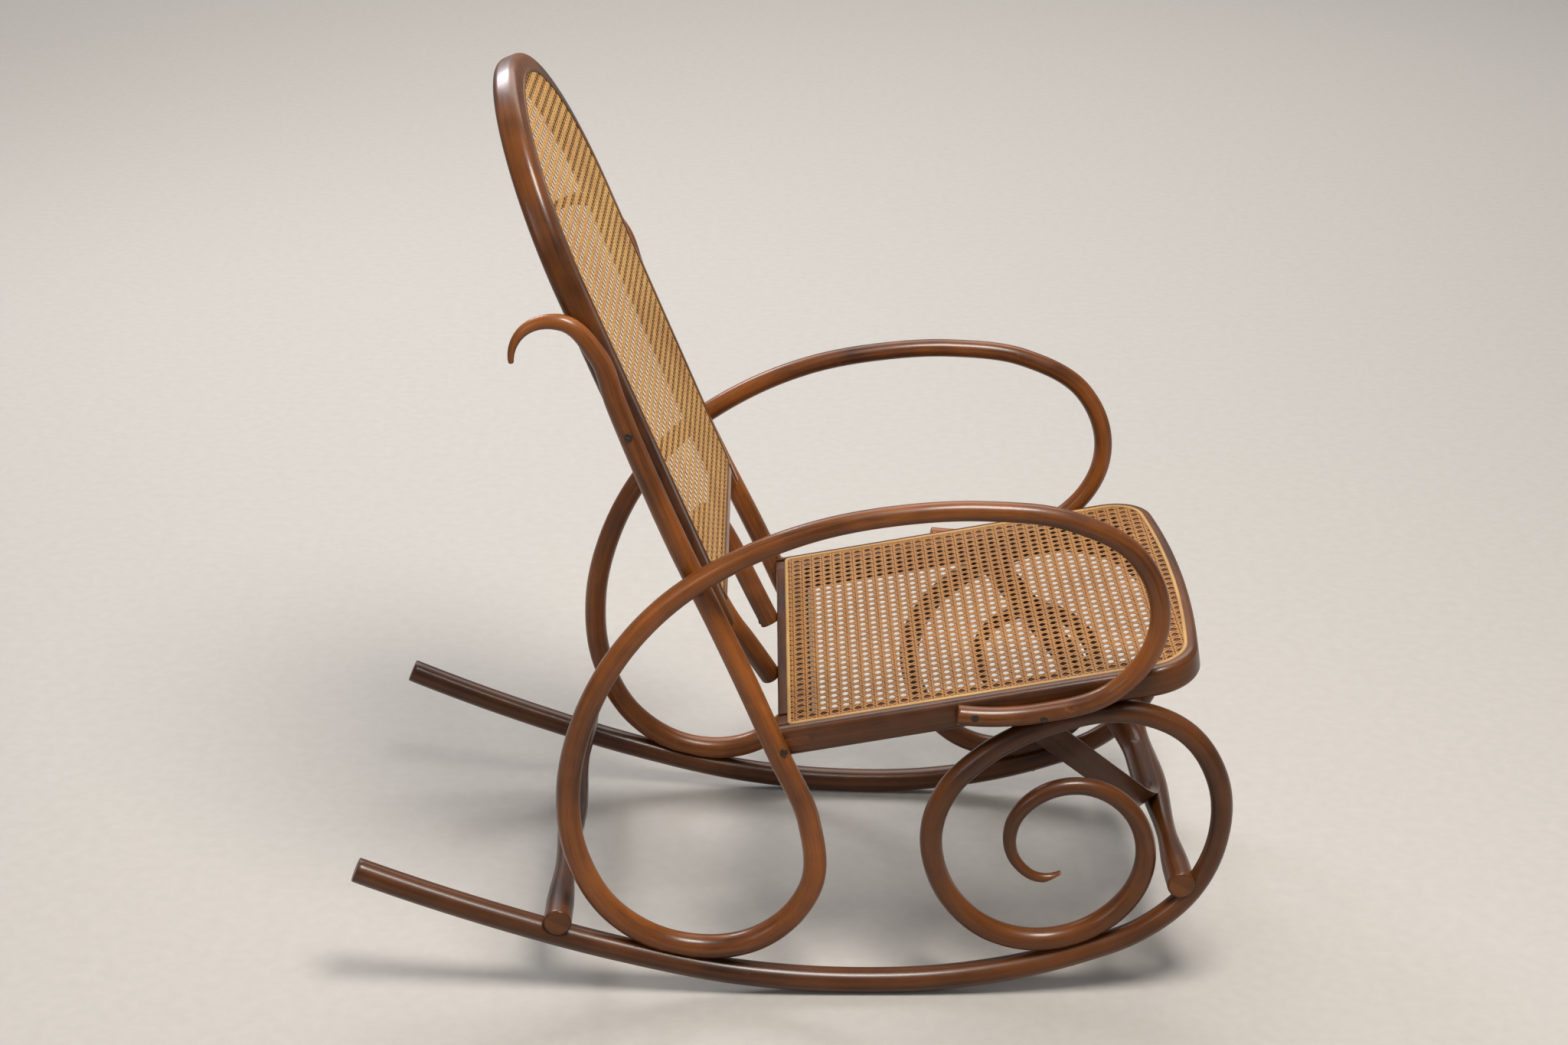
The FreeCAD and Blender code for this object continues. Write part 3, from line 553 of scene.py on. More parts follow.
def brace_line():
    """Middle line of the half-round hoop, and the way it leans from the front stretcher up.

    A flat bottom on the stretcher, a bend each side and straight legs to the side rails. A leg
    touches its bend where the turn is atan(lift / reach) + asin(bend / distance)."""
    a = math.radians(SEAT_AT[2])
    centre = stretcher_centre("front")
    top_on_seat = (BRACE_TOP_X - SEAT_AT[0]) / math.cos(a) - RAIL_HIGH * math.tan(a)
    top = turned(np.array([top_on_seat, 0, -RAIL_HIGH]), SEAT_AT)
    up = unit(top - centre)
    bottom = centre + up * (STRETCHER_MID_R + FLAT_GAP + BRACE_THICK / 2)
    rise = np.linalg.norm(top - bottom)
    top_y = SEAT_HALF - BRACE_TOP_INSET
    reach, lift = top_y - BRACE_FLAT, rise - BRACE_BEND
    turn = math.atan2(lift, reach) + math.asin(BRACE_BEND / math.hypot(reach, lift))
    bend = np.linspace(0, turn, 24)
    y = BRACE_FLAT + BRACE_BEND * np.sin(bend)
    s = BRACE_BEND * (1 - np.cos(bend))
    leg = np.linspace(0, 1, 50)[1:]
    end_y, end_s = top_y + BRACE_SUNK * math.cos(turn), rise + BRACE_SUNK * math.sin(turn)
    y, s = np.r_[y, y[-1] + (end_y - y[-1]) * leg], np.r_[s, s[-1] + (end_s - s[-1]) * leg]
    flat = np.linspace(-BRACE_FLAT, BRACE_FLAT, 24)[1:-1]
    y, s = np.r_[-y[::-1], flat, y], np.r_[s[::-1], 0 * flat, s]
    return bottom + np.stack([0 * y, y, 0 * y], -1) + s[:, None] * up, up


def half_round():
    """Outline of the half-round stock: a crown of one arc, closed by its flat face."""
    w, t = BRACE_WIDE / 2, BRACE_THICK / 2
    radius = (w * w + 4 * t * t) / (4 * t)
    opening = math.degrees(math.asin(w / radius))
    crown = arc((0, radius - t), radius, 270 - opening, 270 + opening, 22)
    face = np.stack([np.linspace(w, -w, 9)[1:-1], np.full(7, t)], -1)
    return np.vstack([crown, face])


def both_halves(across, *halves):
    """Joins the stretches of a half edge and adds the other half, turned over across."""
    flip = np.where(np.arange(2) == across, -1, 1)
    joined = [np.vstack(half) for half in halves]
    return [np.vstack([half, half[-2::-1] * flip]) for half in joined]


def seat_arcs():
    """Forward place of the front bow's centre, and forward and across place of a corner's centre."""
    centre = SEAT_LONG - SEAT_BOW
    corner_y = SEAT_HALF - SEAT_CORNER
    corner_x = centre + math.sqrt((SEAT_BOW - SEAT_CORNER) ** 2 - corner_y ** 2)
    return centre, corner_x, corner_y


def seat_edge(count=40):
    """Plan of the seat's outer edge, from the rear right round the front, and its outward normals.

    Straight side, corner arc and bowed front arc meet with one tangent, and the left half is
    the right half turned over."""
    centre, corner_x, corner_y = seat_arcs()
    turn = math.atan2(corner_y, corner_x - centre)
    x = np.linspace(0, corner_x, count, endpoint=False)
    side = np.stack([x, np.full(count, -SEAT_HALF)], -1)
    side_n = np.tile([0.0, -1.0], (count, 1))
    a = np.linspace(-math.pi / 2, -turn, 14, endpoint=False)
    corner_n = np.stack([np.cos(a), np.sin(a)], -1)
    corner = [corner_x, -corner_y] + SEAT_CORNER * corner_n
    a = np.linspace(-turn, 0, 16)
    front_n = np.stack([np.cos(a), np.sin(a)], -1)
    front = [centre, 0] + SEAT_BOW * front_n
    return both_halves(1, (side, corner, front), (side_n, corner_n, front_n))


def back_edge(count=60):
    """Outer edge of the back in its plane, (across, up), from the right foot over the top."""
    spring = BACK_TALL - BACK_HALF
    u = np.linspace(0, spring, count, endpoint=False)
    side = np.stack([np.full(count, -BACK_HALF), u], -1)
    side_n = np.tile([-1.0, 0.0], (count, 1))
    a = np.linspace(math.pi, math.pi / 2, 40)
    over_n = np.stack([np.cos(a), np.sin(a)], -1)
    over = [0, spring] + BACK_HALF * over_n
    return both_halves(0, (side, over), (side_n, over_n))


def seat_place(plan, height):
    """Seat-plane places (forward, across) at a height to chair places."""
    height = np.broadcast_to(height, plan.shape[:-1])
    return turned(np.concatenate([plan, height[..., None]], -1), SEAT_AT)


def back_place(face, depth):
    """Back-plane places (across, up) at a depth to chair places."""
    depth = np.broadcast_to(depth, face.shape[:-1])
    return turned(np.stack([depth, face[..., 0], face[..., 1]], -1), BACK_AT)


def ringed(edge, normal, profile):
    """Carries a profile of (inset, height) pairs round an edge, offset along its normals."""
    inset, height = profile[:, 0], profile[:, 1]
    return edge[:, None] - inset[None, :, None] * normal[:, None], np.tile(height, (len(edge), 1))


def closed_edge(edge, normal, inset, foot_axis, foot):
    """An inset loop: an open edge cut off at foot and closed across it with small round corners."""
    corner_r = 4
    line = edge - inset * normal
    line = line[line[:, foot_axis] > foot + corner_r]
    corner = []
    for end, way in ((line[-1], 1), (line[0], -1)):
        a = np.radians(np.linspace(0, 90, 6))
        turn = np.zeros((6, 2))
        inward = -np.sign(end[1 - foot_axis])
        turn[:, 1 - foot_axis] = end[1 - foot_axis] + inward * corner_r * (1 - np.cos(a))
        turn[:, foot_axis] = foot + corner_r - corner_r * np.sin(a)
        corner.append(turn[::way])
    across = np.linspace(corner[0][-1], corner[1][0], 60)[1:-1]
    return np.vstack([line, corner[0], across, corner[1]])


def weave(name, spans, keep, where, material, *nodes):
    """Ribbons of split cane: a crown over two edges, from one sample of each strand to the next.

    spans holds for each strand family (places (strands, samples, 3), sideways, width, thickness);
    keep says of panel places whether they lie inside the panel, and where moves panel places to
    the chair."""
    verts, faces, maps, count = [], [], [], 0
    for family, (place, sideways, width, thick) in enumerate(spans):
        inside = keep(place[..., 0], place[..., 1])
        order = np.cumsum(inside.ravel()).reshape(inside.shape) - 1
        mid = place[inside]
        side = np.broadcast_to(sideways, place.shape)[inside] * (width / 2)
        up = np.array([0, 0, thick / 2])
        corner = np.stack([mid - side - up, mid + side - up, mid + up], 1)
        verts.append(where(corner).reshape(-1, 3))
        step = np.linalg.norm(np.diff(place, axis=1), axis=2)
        run = np.concatenate([np.zeros((len(place), 1)), np.cumsum(step, axis=1)], 1) * MM
        strand = np.arange(len(place))[:, None] * 0.0137 + family * 0.31
        u = run[inside]
        v = np.broadcast_to(strand, inside.shape)[inside]
        both = inside[:, :-1] & inside[:, 1:]
        a, b = order[:, :-1][both], order[:, 1:][both]
        for left, right in ((0, 2), (2, 1), (1, 0)):
            faces.append(count + np.stack([a * 3 + left, b * 3 + left, b * 3 + right, a * 3 + right], 1))
            v0, v1 = v + left * 0.0009, v + right * 0.0009
            corners = ((u[a], v0[a]), (u[b], v0[b]), (u[b], v1[b]), (u[a], v1[a]))
            maps.append(np.stack([np.stack(place_on_map, -1) for place_on_map in corners], 1))
        before = np.zeros_like(inside)
        before[:, 1:] = inside[:, :-1]
        after = np.zeros_like(inside)
        after[:, :-1] = inside[:, 1:]
        for ends, turn in ((order[inside & ~before], (0, 2, 1)), (order[inside & ~after], (0, 1, 2))):
            faces.append(count + ends[:, None] * 3 + np.array(turn + turn[2:]))
            maps.append(np.repeat(np.stack([u[ends], v[ends]], -1)[:, None], 4, axis=1))
        count += 3 * len(mid)
    obj = build(name, np.vstack(verts), np.vstack(faces), np.vstack(maps))
    return dress(obj, finish_of(material), "cane", *nodes)


def straight_strands(reach_a, reach_b, width, spread):
    """Paired strands both ways on a square mesh.

    A strand rises over one strand of the other pair and dips under its neighbour: height =
    lift * sin(pi * s / spread) within one spread of the crossing, and 0 between."""
    p = CANE_PITCH
    near = np.array([-spread, -spread / 2, 0, spread / 2, spread, p / 2])
    lift = np.array([0, -1, 0, 1, 0, 0]) * STRAIGHT_LIFT
    spans = []
    for reach, other, axis in ((reach_a, reach_b, 0), (reach_b, reach_a, 1)):
        cells = np.arange(math.floor(reach[0] / p) - 1, math.ceil(reach[1] / p) + 1)
        lines = np.arange(math.floor(other[0] / p) - 1, math.ceil(other[1] / p) + 1)
        along_it = ((cells[:, None] + 0.5) * p + near).ravel()
        wave = np.tile(lift, len(cells))
        for sign in (-1, 1):
            across = (lines + 0.5) * p + sign * spread / 2
            place = np.zeros((len(across), len(along_it), 3))
            place[..., axis] = along_it
            place[..., 1 - axis] = across[:, None]
            place[..., 2] = CANE_LEVEL + wave * sign * (1 if axis == 0 else -1)
            sideways = (0, 1, 0) if axis == 0 else (-1, 0, 0)
            spans.append((place, sideways, width, CANE_THICK))
    return spans


def slanted_strands(reach_a, reach_b, width):
    """Single strands both ways on the slant, half a pitch off the crossings.

    Each passes over the pairs of one direction and under those of the other: height =
    lift * cos(pi * s / half), with half the way from one pair to the next."""
    p = CANE_PITCH
    a0, b0 = p * math.floor(reach_a[0] / p), p * math.floor(reach_b[0] / p)
    size = (reach_a[1] - a0) + (reach_b[1] - b0) + 2 * p
    strands = np.arange(-math.ceil(size / p), math.ceil(size / p)) + 0.5
    steps = np.arange(0, math.ceil(size / p) * 4)
    spans = []
    for way in (1, -1):
        a = a0 + steps * (p / 4)
        b = way * (strands[:, None] * p - (a - a0)) + b0
        place = np.stack([np.broadcast_to(a, b.shape), b, np.zeros(b.shape)], -1)
        wave = np.cos(math.pi * (a - a0 - p / 2) / (p / 2)) * way
        place[..., 2] = CANE_LEVEL + SLANTED_LIFT * wave
        sideways = unit(np.array([way, 1.0, 0.0]))
        spans.append((place, sideways, width, SLANTED_THICK))
    return spans


def in_seat(a, b):
    """Inside the seat's reed: within the sides, the bowed front and the two round corners."""
    b = np.abs(b)
    centre, corner_x, corner_y = seat_arcs()
    behind_bow = np.hypot(a - centre, b) < SEAT_BOW - REED_IN
    inside = (b < SEAT_HALF - REED_IN) & (a > REED_IN) & behind_bow
    at_corner = (a > corner_x) & (b > corner_y)
    return inside & (~at_corner | (np.hypot(a - corner_x, b - corner_y) < SEAT_CORNER - REED_IN))


def in_back(a, b):
    """Inside the back's reed: above the crossbar's and within the sides and the round top."""
    spring = BACK_TALL - BACK_HALF
    foot = BAR_UP + BAR_HIGH - REED_IN - REED_WIDE
    high = np.hypot(np.maximum(a - spring, 0), b) < BACK_HALF - BACK_REED
    return (a > foot) & high


def seat_panel(place):
    """Cane places (forward, across, up) on the seat."""
    return seat_place(place[..., :2], place[..., 2])


def back_panel(place):
    """Cane places (up, across, forward) on the back."""
    return back_place(np.stack([-place[..., 1], place[..., 0]], -1), place[..., 2])


def screw_heads(name, heads, nodes):
    """Domed, slotted screw heads, each on a polar grid: height = dome - slot across the middle."""
    rings, spokes = 9, 32
    r = np.linspace(0.25, SCREW_R, rings)
    a = np.linspace(0, 2 * math.pi, spokes, endpoint=False)
    x, y = r[:, None] * np.cos(a), r[:, None] * np.sin(a)
    dome = 0.75 * (1 - (r[:, None] / 5.2) ** 2) + 0 * a
    slot = np.clip(1.6 - np.abs(x) / SCREW_SLOT_HALF, 0, 1) * (r[:, None] < SCREW_R - 0.3)
    dome = dome - SCREW_SLOT_DEEP * slot
    skirt_x, skirt_y = SCREW_R * np.cos(a), SCREW_R * np.sin(a)
    grid = np.stack([x, y, dome], -1)
    grid = np.vstack([grid, np.stack([skirt_x, skirt_y, np.full(spokes, -1.2)], -1)[None]])
    for k, (place, outward, turn) in enumerate(heads):
        n = unit(np.asarray(outward, float))
        side = unit(np.cross(n, (0.0, 0.03, 1.0) if abs(n[2]) < 0.9 else (1.0, 0.0, 0.0)))
        up = np.cross(n, side)
        c, q = math.cos(turn), math.sin(turn)
        first, second = side * c + up * q, up * c - side * q
        spot = np.asarray(place) + grid[..., :1] * first + grid[..., 1:2] * second + grid[..., 2:] * n
        obj = grid_mesh(name + "_%d" % (k + 1), spot[:, ::-1])
        dress(obj, finish_of("screw"), "steel", *(nodes if k == 0 else ()))


def colour_setting(name, description, default):
    return bpy.props.FloatVectorProperty(
        name=name, description=description, default=default, subtype="COLOR", size=3, min=0, max=1,
    )


def length_setting(name, description, default, lowest, highest):
    return bpy.props.FloatProperty(
        name=name, description=description, default=default, min=lowest, max=highest,
        subtype="DISTANCE", unit="LENGTH",
    )


class ChairLooks(bpy.types.PropertyGroup):
    """Colours of the chair's finishes."""

    wood_dark: colour_setting("Dark wood", "Stain in the darkest grain", (0.022, 0.0065, 0.002))
    wood_light: colour_setting("Light wood", "Stain in the lightest grain", (0.155, 0.046, 0.007))
    cane_pale: colour_setting("Pale cane", "Clean skin of the cane", (0.42, 0.20, 0.052))
    cane_brown: colour_setting("Brown cane", "Aged and varnished cane", (0.20, 0.075, 0.016))
    reed: colour_setting("Reed", "Reed pressed in round the cane", (0.56, 0.35, 0.12))


class ChairSizes(bpy.types.PropertyGroup):
    """Sizes of the pieces that only the scene carries."""

    strand_width: length_setting("Strand width", "Width of one cane strand", 0.0029, 0.001, 0.004)
    pair_gap: length_setting("Pair spread", "Distance between a pair's two strands", 0.0031, 0.002, 0.005)
    floor_reach: length_setting("Floor reach", "How far the floor runs out", 30.0, 2, 60)


def both_bars(name, line, flats, finish, node):
    """A bent bar on the right and its mirror image on the left."""
    for side, left in (("right", False), ("left", True)):
        bent_bar(name + side, *line, flats, finish, node + side, left)


class CHAIR_OT_rockers(bpy.types.Operator):
    """Rockers with their front rise, scroll and curl"""

    bl_idname = "chair.rockers"
    bl_label = "Rockers"

    def execute(self, context):
        a = math.radians(SEAT_AT[2])
        x = RAIL_BEARING_X
        under_z = SEAT_AT[1] + (x - SEAT_AT[0]) * math.tan(a) - RAIL_HIGH / math.cos(a) - FLAT_GAP
        flats = [
            ((x, -RAIL_BEARING_HALF, under_z), upward(SEAT_AT), *RAIL_FLAT),
            (*on_rocker(SCROLL_SEAT_X), *SCROLL_FLAT),
            CURL_CUT,
        ]
        both_bars("rocker_", rocker_line(), flats, "rocker", "rocker_scroll_")
        return {"FINISHED"}


class CHAIR_OT_arms(bpy.types.Operator):
    """Arms with their rear loop, stile and hook"""

    bl_idname = "chair.arms"
    bl_label = "Arms"

    def execute(self, context):
        flats = [
            ((x, -half - FLAT_GAP, z), (0, 1, 0), reach, first) for x, half, z, reach, first in ARM_FLATS
        ]
        flats.append((*on_rocker(LOOP_SEAT_X), *LOOP_FLAT))
        both_bars("arm_", arm_line(), flats, "arm", "arm_loop_")
        return {"FINISHED"}


class CHAIR_OT_stretchers(bpy.types.Operator):
    """Turned bars between the rockers"""

    bl_idname = "chair.stretchers"
    bl_label = "Stretchers"

    def execute(self, context):
        for name, (x, bar, _) in STRETCHERS.items():
            half = rocker_half(x) + bar + STRETCHER_PROUD
            y = np.linspace(-half, half, 161)
            part = np.clip((np.abs(y) - half / 2) / (half / 2 - STRETCHER_END), 0, 1)
            inner = np.clip(np.abs(y) / (half / 2), 0, 1)
            ease, inner = part * part * (3 - 2 * part), inner * inner * (3 - 2 * inner)
            outer_r = STRETCHER_WAIST_R + (STRETCHER_END_R - STRETCHER_WAIST_R) * ease
            inner_r = STRETCHER_MID_R - (STRETCHER_MID_R - STRETCHER_WAIST_R) * inner
            radius = np.where(np.abs(y) > half / 2, outer_r, inner_r)
            line = stretcher_centre(name) + np.stack([0 * y, y, 0 * y], -1)
            line, radius = with_ends(line, radius, STRETCHER_BEVEL)
            around = 40
            grid = sweep(line, round_section(radius, around), (0, 0, 1))
            girth = np.linspace(0, STRETCHER_GIRTH, around + 1)
            obj = grid_mesh("stretcher_" + name, grid, length_of(line), girth)
            dress(soft_corners(obj), finish_of("rocker"), "beech", name + "_stretcher")
            pale_ends(obj, around)
        return {"FINISHED"}


class CHAIR_OT_hoops(bpy.types.Operator):
    """Round hoop behind the seat and half-round hoop under it"""

    bl_idname = "chair.hoops"
    bl_label = "Hoops"

    def execute(self, context):
        bearing = SUPPORT_R - SUPPORT_PLANED
        foot = turned(np.array([-bearing, 0, -SUPPORT_FOOT_DOWN]), SEAT_AT)
        top = turned(np.array([-BAR_DEEP - bearing, 0, SUPPORT_TOP]), BACK_AT)
        down = unit(foot - top)
        half = [top + (0, y, 0) + down * s for y, s in SUPPORT]
        half.append(foot + (0, SUPPORT_FOOT_Y, 0) + down * SUPPORT_TAIL)
        points = [q * [1, -1, 1] for q in half[:0:-1]] + half
        flats = [
            (turned(np.array([-FLAT_GAP, y, -FOOT_FLAT_DOWN]), SEAT_AT), forward(SEAT_AT), *FOOT_FLAT)
            for y in (-SUPPORT_FOOT_Y, SUPPORT_FOOT_Y)
        ]
        bar_back = turned(np.array([-BAR_DEEP - FLAT_GAP, 0, BAR_FLAT_UP]), BACK_AT)
        flats.append((bar_back, forward(BACK_AT), *BAR_FLAT))
        across = np.cross((0, 1, 0), down)
        radii = [SUPPORT_R] * len(points)
        bent_bar("support_hoop", points, radii, flats, "arm", "rear_support_hoop", side=across)
        line, up = brace_line()
        grid = sweep(line, np.tile(half_round(), (len(line), 1, 1)), np.cross((0, 1, 0), up))
        obj = grid_mesh("brace_hoop", grid, length_of(line))
        dress(soft_corners(obj), finish_of("rocker"), "beech", "front_brace_hoop")
        return {"FINISHED"}


class CHAIR_OT_seat_frame(bpy.types.Operator):
    """Bent seat rim and straight rear rail"""

    bl_idname = "chair.seat_frame"
    bl_label = "Seat frame"

    def execute(self, context):
        edge, normal = seat_edge()
        w, h, reed = RAIL_WIDE, RAIL_HIGH, REED_IN + REED_WIDE
        profile = np.vstack([
            arc((7, -7), 7, 90, 180), arc((7, 7 - h), 7, 180, 270), arc((w - 5, 5 - h), 5, 270, 360),
            arc((w - 3, -3 - PANEL_FOOT), 3, 0, 90),
            [(reed, -PANEL_FOOT), (reed, -GROOVE_DEEP), (REED_IN, -GROOVE_DEEP), (REED_IN, 0)],
        ])
        plan, height = ringed(edge, normal, profile)
        obj = grid_mesh("seat_rim", seat_place(plan, height))
        dress(soft_corners(obj), finish_of("rail"), "beech", "seat_rim")
        profile = np.vstack([
            [(2.5, 0), (REED_IN, 0), (REED_IN, -GROOVE_DEEP), (reed, -GROOVE_DEEP), (reed, -PANEL_FOOT)],
            arc((w - 3, -3 - PANEL_FOOT), 3, 90, 0),
            arc((w - 5, 5 - h), 5, 0, -90), arc((3, 3 - h), 3, 270, 180), arc((2.5, -2.5), 2.5, 180, 100),
        ])
        y = np.linspace(-SEAT_HALF + w, SEAT_HALF - w, 90)
        plan = np.stack(np.broadcast_arrays(profile[:, 0], y[:, None]), -1)
        obj = grid_mesh("seat_rear_rail", seat_place(plan, profile[:, 1] + 0 * y[:, None]))
        dress(soft_corners(obj), finish_of("rail"), "beech", "seat_rear_rail")
        for name, sign in (("right", -1), ("left", 1)):
            rear, front = TENON_FROM + 1, TENON_TO - 1
            upper, lower = -TENON_UNDER - 1, 1 - TENON_UNDER - TENON_HIGH
            corners = np.vstack([
                arc((front, upper), 1, 90, 0, 4), arc((front, lower), 1, 0, -90, 4),
                arc((rear, lower), 1, 270, 180, 4), arc((rear, upper), 1, 180, 90, 4),
            ])
            middle = ((TENON_FROM + TENON_TO) / 2, -TENON_UNDER - TENON_HIGH / 2)
            shrink = np.array([1, 1, 0.985, 0.95])[:, None, None]
            ring = (corners - middle) * shrink + middle
            out = (SEAT_HALF + np.array([-3, 0, TENON_PROUD - 0.05, TENON_PROUD])) * sign
            ring, out = ring[::sign], out[::sign]
            plan = np.stack(np.broadcast_arrays(ring[..., 0], out[:, None]), -1)
            obj = grid_mesh("rail_tenon_" + name, seat_place(plan, ring[..., 1]))
            dress(obj, finish_of("end_grain"), "beech")
        return {"FINISHED"}


class CHAIR_OT_back_frame(bpy.types.Operator):
    """Bent hoop and crossbar of the back"""

    bl_idname = "chair.back_frame"
    bl_label = "Back frame"

    def execute(self, context):
        edge, normal = back_edge()
        d, w, reed = BACK_DEEP, BACK_STOCK, BACK_REED + REED_WIDE
        profile = np.vstack([
            arc((9, -9), 9, 180, 90),
            [(BACK_REED, 0), (BACK_REED, -GROOVE_DEEP), (reed, -GROOVE_DEEP), (reed, -PANEL_FOOT)],
            arc((w - 1.5, -2.8), 1.5, 90, 0, 4), arc((w - 4, 4 - d), 4, 0, -90), arc((9, 9 - d), 9, 270, 180),
        ])
        face, depth = ringed(edge, normal, profile)
        obj = grid_mesh("back_hoop", back_place(face, depth))
        dress(soft_corners(obj), finish_of("hoop"), "beech", "back_hoop")
        top, deep = BAR_UP + BAR_HIGH, BAR_DEEP
        profile = np.vstack([
            arc((-2.8, top - 1.5), 1.5, 90, 0, 4),
            [(-PANEL_FOOT, top - REED_IN), (-GROOVE_DEEP, top - REED_IN)],
            [(-GROOVE_DEEP, top - REED_IN - REED_WIDE), (0, top - REED_IN - REED_WIDE)],
            arc((-6, BAR_UP + 6), 6, 0, -90), arc((6 - deep, BAR_UP + 6), 6, 270, 180),
            arc((3 - deep, top - 3), 3, 180, 90),
        ])
        y = np.linspace(BACK_STOCK - BACK_HALF, BACK_HALF - BACK_STOCK, 90)
        face = np.stack(np.broadcast_arrays(y[:, None], profile[:, 1]), -1)
        obj = grid_mesh("back_crossbar", back_place(face, profile[:, 0] + 0 * y[:, None]))
        dress(soft_corners(obj), finish_of("arm"), "beech", "back_crossbar")
        return {"FINISHED"}


class CHAIR_OT_cane(bpy.types.Operator):
    """Six-way woven cane of the seat and the back"""

    bl_idname = "chair.cane"
    bl_label = "Cane"

    def execute(self, context):
        sizes = context.scene.chair_sizes
        width, spread = sizes.strand_width / MM, sizes.pair_gap / MM
        seat = ((0, SEAT_LONG), (-SEAT_HALF, SEAT_HALF))
        back = ((BAR_UP, BACK_TALL), (-BACK_HALF, BACK_HALF))
        panels = (
            ("seat", seat, in_seat, seat_panel, "cane"),
            ("back", back, in_back, back_panel, "back_cane"),
        )
        for name, reach, keep, where, kind in panels:
            spans = straight_strands(*reach, width, spread)
            weave(name + "_cane", spans, keep, where, kind, name + "_cane")
            spans = slanted_strands(*reach, width)
            weave(name + "_cane_slanted", spans, keep, where, kind)
        return {"FINISHED"}


class CHAIR_OT_reeds(bpy.types.Operator):
    """Reeds pressed into the grooves round the cane"""

    bl_idname = "chair.reeds"
    bl_label = "Reeds"

    def execute(self, context):
        half = REED_WIDE / 2 - 0.1
        crown = arc((0, 0), 1, 0, 180, 9) * (half, 1.3)
        outline = np.vstack([crown, [(-half, -2.5), (half, -2.5)]])
        edge, normal = seat_edge()
        loop = closed_edge(edge, normal, REED_IN + REED_WIDE / 2, 0, REED_IN + REED_WIDE / 2)
        seat = seat_place(loop, 0.0)
        edge, normal = back_edge()
        foot = BAR_UP + BAR_HIGH - REED_IN - REED_WIDE / 2
        loop = closed_edge(edge, normal, BACK_REED + REED_WIDE / 2, 1, foot)
        back = back_place(loop, 0.0)
        reeds = (("seat", seat, upward(SEAT_AT), "reed"), ("back", back, forward(BACK_AT), "dark_reed"))
        for name, line, up, kind in reeds:
            t = unit(np.roll(line, -1, 0) - np.roll(line, 1, 0))
            side = np.cross(up, t)
            grid = line[:, None] + outline[:, :1] * side[:, None] + outline[:, 1:] * up
            outward = np.cross(grid[0, 1] - grid[0, 0], t[0]) @ up
            grid = grid if outward > 0 else grid[:, ::-1]
            obj = grid_mesh(name + "_reed", grid, length_of(line), loop=True)
            dress(soft_corners(obj, 60), finish_of(kind), "reed", name + "_spline")
        return {"FINISHED"}


class CHAIR_OT_screws(bpy.types.Operator):
    """Screw heads at the joints"""

    bl_idname = "chair.screws"
    bl_label = "Screws"

    def execute(self, context):
        for side, sign in (("right", -1), ("left", 1)):
            right, out = side == "right", (0, sign, 0)
            heads = [((x, sign * ARM_SCREW_OUT, ARM_SCREW_UP), out, turn) for x, turn in ARM_SCREWS]
            screw_heads("arm_screw_" + side, heads, ("arm_seat_screws",) if right else ())
            heads = [((x, sign * STILE_SCREW_OUT, STILE_SCREW_UP), out, turn) for x, turn in STILE_SCREWS]
            screw_heads("stile_screw_" + side, heads, ("stile_seat_screws",) if right else ())
            heads = []
            for x, turn in ROCKER_SCREWS:
                z, slope = rocker_at(x)
                down = np.array([math.sin(slope), 0, -math.cos(slope)])
                under = [x, sign * rocker_half(x), z] + down * (ROCKER_R - ROCKER_SCREW_SUNK)
                heads.append((under, down, turn))
            screw_heads("rocker_screw_" + side, heads, ("rocker_screws",) if right else ())
            behind = -2 * SUPPORT_R + HOOP_SCREW_SUNK
            place = turned(np.array([behind, sign * SUPPORT_FOOT_Y, -SUPPORT_FOOT_DOWN]), SEAT_AT)
            heads = [(place, -forward(SEAT_AT), HOOP_SCREW_TURN)]
            screw_heads("hoop_screw_" + side, heads, ("support_hoop_screws",) if right else ())
            heads = []
            for up, turn in BACK_SCREWS:
                spot = turned(np.array([-BACK_DEEP / 2, 0, up]), BACK_AT)
                heads.append(((spot[0], sign * (BACK_HALF + BACK_SCREW_OUT), spot[2]), out, turn))
            screw_heads("stile_back_screw_" + side, heads, ())
        return {"FINISHED"}


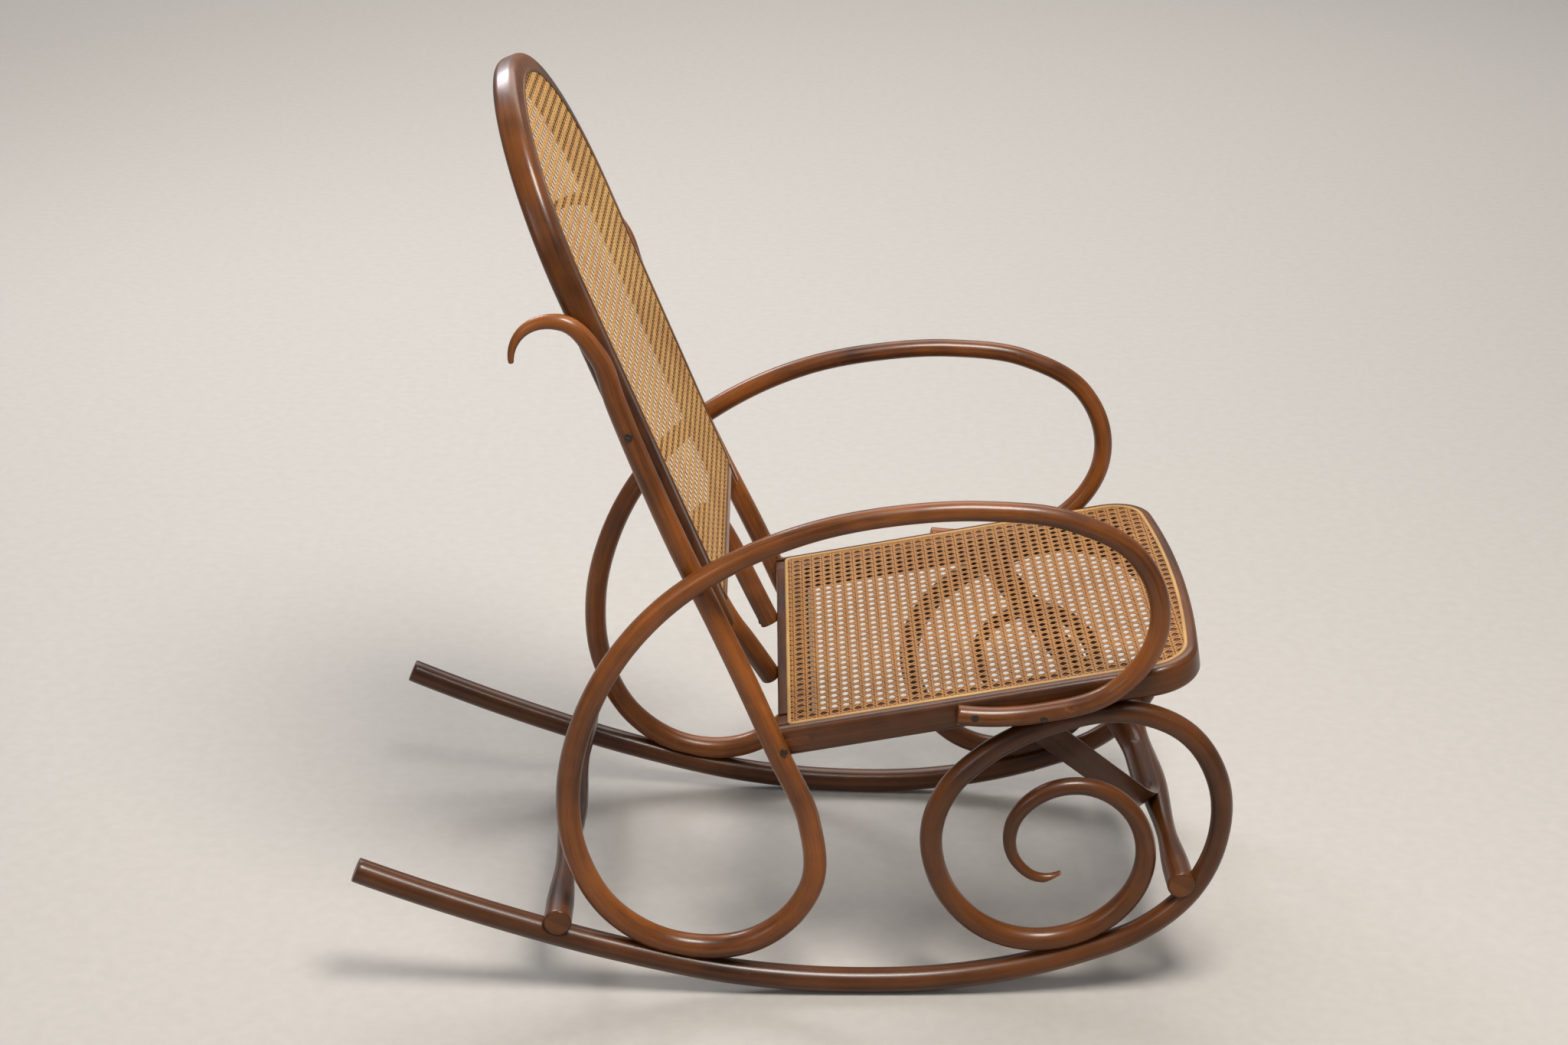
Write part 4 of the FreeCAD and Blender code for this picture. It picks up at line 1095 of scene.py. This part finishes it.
class CHAIR_OT_stage(bpy.types.Operator):
    """Pale floor, lamps and the camera"""

    bl_idname = "chair.stage"
    bl_label = "Stage"

    def execute(self, context):
        reach = context.scene.chair_sizes.floor_reach
        mesh = bpy.data.meshes.new("floor")
        corners = [(-reach, -reach, 0), (reach, -reach, 0), (reach, reach, 0), (-reach, reach, 0)]
        mesh.from_pydata(corners, [], [(0, 1, 2, 3)])
        floor = bpy.data.objects.new("floor", mesh)
        context.scene.collection.objects.link(floor)
        floor.data.materials.append(pale_floor())
        sky = bpy.data.worlds.new("studio")
        sky.use_nodes = True
        tree = sky.node_tree
        light = tree.nodes["Background"]
        light.inputs[0].default_value = (0.93, 0.95, 1.0, 1)
        light.inputs[1].default_value = 0.27
        seen = tree.nodes.new("ShaderNodeBackground")
        seen.inputs[0].default_value = (0.86, 0.85, 0.83, 1)
        path = tree.nodes.new("ShaderNodeLightPath")
        mixer = tree.nodes.new("ShaderNodeMixShader")
        tree.links.new(path.outputs["Is Camera Ray"], mixer.inputs[0])
        tree.links.new(light.outputs[0], mixer.inputs[1])
        tree.links.new(seen.outputs[0], mixer.inputs[2])
        tree.links.new(mixer.outputs[0], tree.nodes["World Output"].inputs[0])
        context.scene.world = sky
        lamps = (
            ("key", (0.5, -1.1, 3.0), 1.1, 105, (1.0, 0.96, 0.90), (0, 0, 0.45)),
            ("fill", (-2.4, -2.6, 1.8), 1.2, 12, (0.95, 0.96, 1.0), (0, 0, 0.45)),
            ("rim", (-1.6, 2.4, 2.6), 1.0, 38, (0.93, 0.93, 1.0), (0, 0, 0.45)),
            ("far", (0.0, 4.2, 4.5), 6.0, 290, (1.0, 0.98, 0.95), (0, 5.2, 0)),
        )
        for name, place, size, power, colour, target in lamps:
            data = bpy.data.lights.new(name, "AREA")
            data.shape, data.size, data.energy, data.color = "DISK", size, power, colour
            lamp = bpy.data.objects.new(name, data)
            lamp.location = place
            aim = np.array(target) - np.array(place)
            tilt = math.acos(-aim[2] / np.linalg.norm(aim))
            lamp.rotation_euler = (tilt, 0, math.atan2(aim[1], aim[0]) - math.pi / 2)
            context.scene.collection.objects.link(lamp)
        camera = bpy.data.objects.new("camera", bpy.data.cameras.new("camera"))
        camera.data.sensor_width = 36
        camera.data.lens = FOCAL_PIXELS / PICTURE_WIDTH * camera.data.sensor_width
        right = (0.99974, -0.00673, 0.02163)
        down = (0.01711, -0.40168, -0.91562)
        ahead = (0.01485, 0.91576, -0.40146)
        place = (HOME[0] * MM, -2.598, 1.618)
        camera.matrix_world = Matrix([
            (right[i], -down[i], -ahead[i], place[i]) for i in range(3)
        ] + [(0, 0, 0, 1)])
        context.scene.collection.objects.link(camera)
        context.scene.camera = camera
        context.scene.view_settings.view_transform = "Standard"
        return {"FINISHED"}


def pale_floor():
    """Matt pale floor that keeps its shadow."""
    f = Finish("pale floor")
    speck = f.noise(f.where(), 60.0, 4.0)
    f.set(Base_Color=f.mix(speck, (0.40, 0.375, 0.345), (0.47, 0.445, 0.41)), Roughness=0.85)
    return f.material


CLASSES = [
    ChairLooks, ChairSizes, CHAIR_OT_stage, CHAIR_OT_rockers, CHAIR_OT_arms, CHAIR_OT_stretchers,
    CHAIR_OT_hoops, CHAIR_OT_seat_frame, CHAIR_OT_back_frame, CHAIR_OT_cane, CHAIR_OT_reeds, CHAIR_OT_screws,
]


class CHAIR_PT_panel(bpy.types.Panel):
    """Lists the chair's colours, sizes and pieces"""

    bl_idname = "CHAIR_PT_panel"
    bl_label = "Bentwood chair"
    bl_space_type = "VIEW_3D"
    bl_region_type = "UI"
    bl_category = "Chair"

    def draw(self, context):
        for group in (context.scene.chair_looks, context.scene.chair_sizes):
            for name in group.__annotations__:
                self.layout.prop(group, name)
        for made in PIECES:
            self.layout.operator(made.bl_idname)


PIECES = [c for c in CLASSES if issubclass(c, bpy.types.Operator)]


def register():
    for made in CLASSES + [CHAIR_PT_panel]:
        bpy.utils.register_class(made)
    bpy.types.Scene.chair_looks = bpy.props.PointerProperty(type=ChairLooks)
    bpy.types.Scene.chair_sizes = bpy.props.PointerProperty(type=ChairSizes)


def unregister():
    del bpy.types.Scene.chair_looks
    del bpy.types.Scene.chair_sizes
    for made in reversed(CLASSES + [CHAIR_PT_panel]):
        bpy.utils.unregister_class(made)


def main():
    register()
    bpy.ops.chair.stage()
    bpy.ops.chair.rockers()
    bpy.ops.chair.arms()
    bpy.ops.chair.stretchers()
    bpy.ops.chair.hoops()
    bpy.ops.chair.seat_frame()
    bpy.ops.chair.back_frame()
    bpy.ops.chair.cane()
    bpy.ops.chair.reeds()
    bpy.ops.chair.screws()


if __name__ == "__main__":
    main()
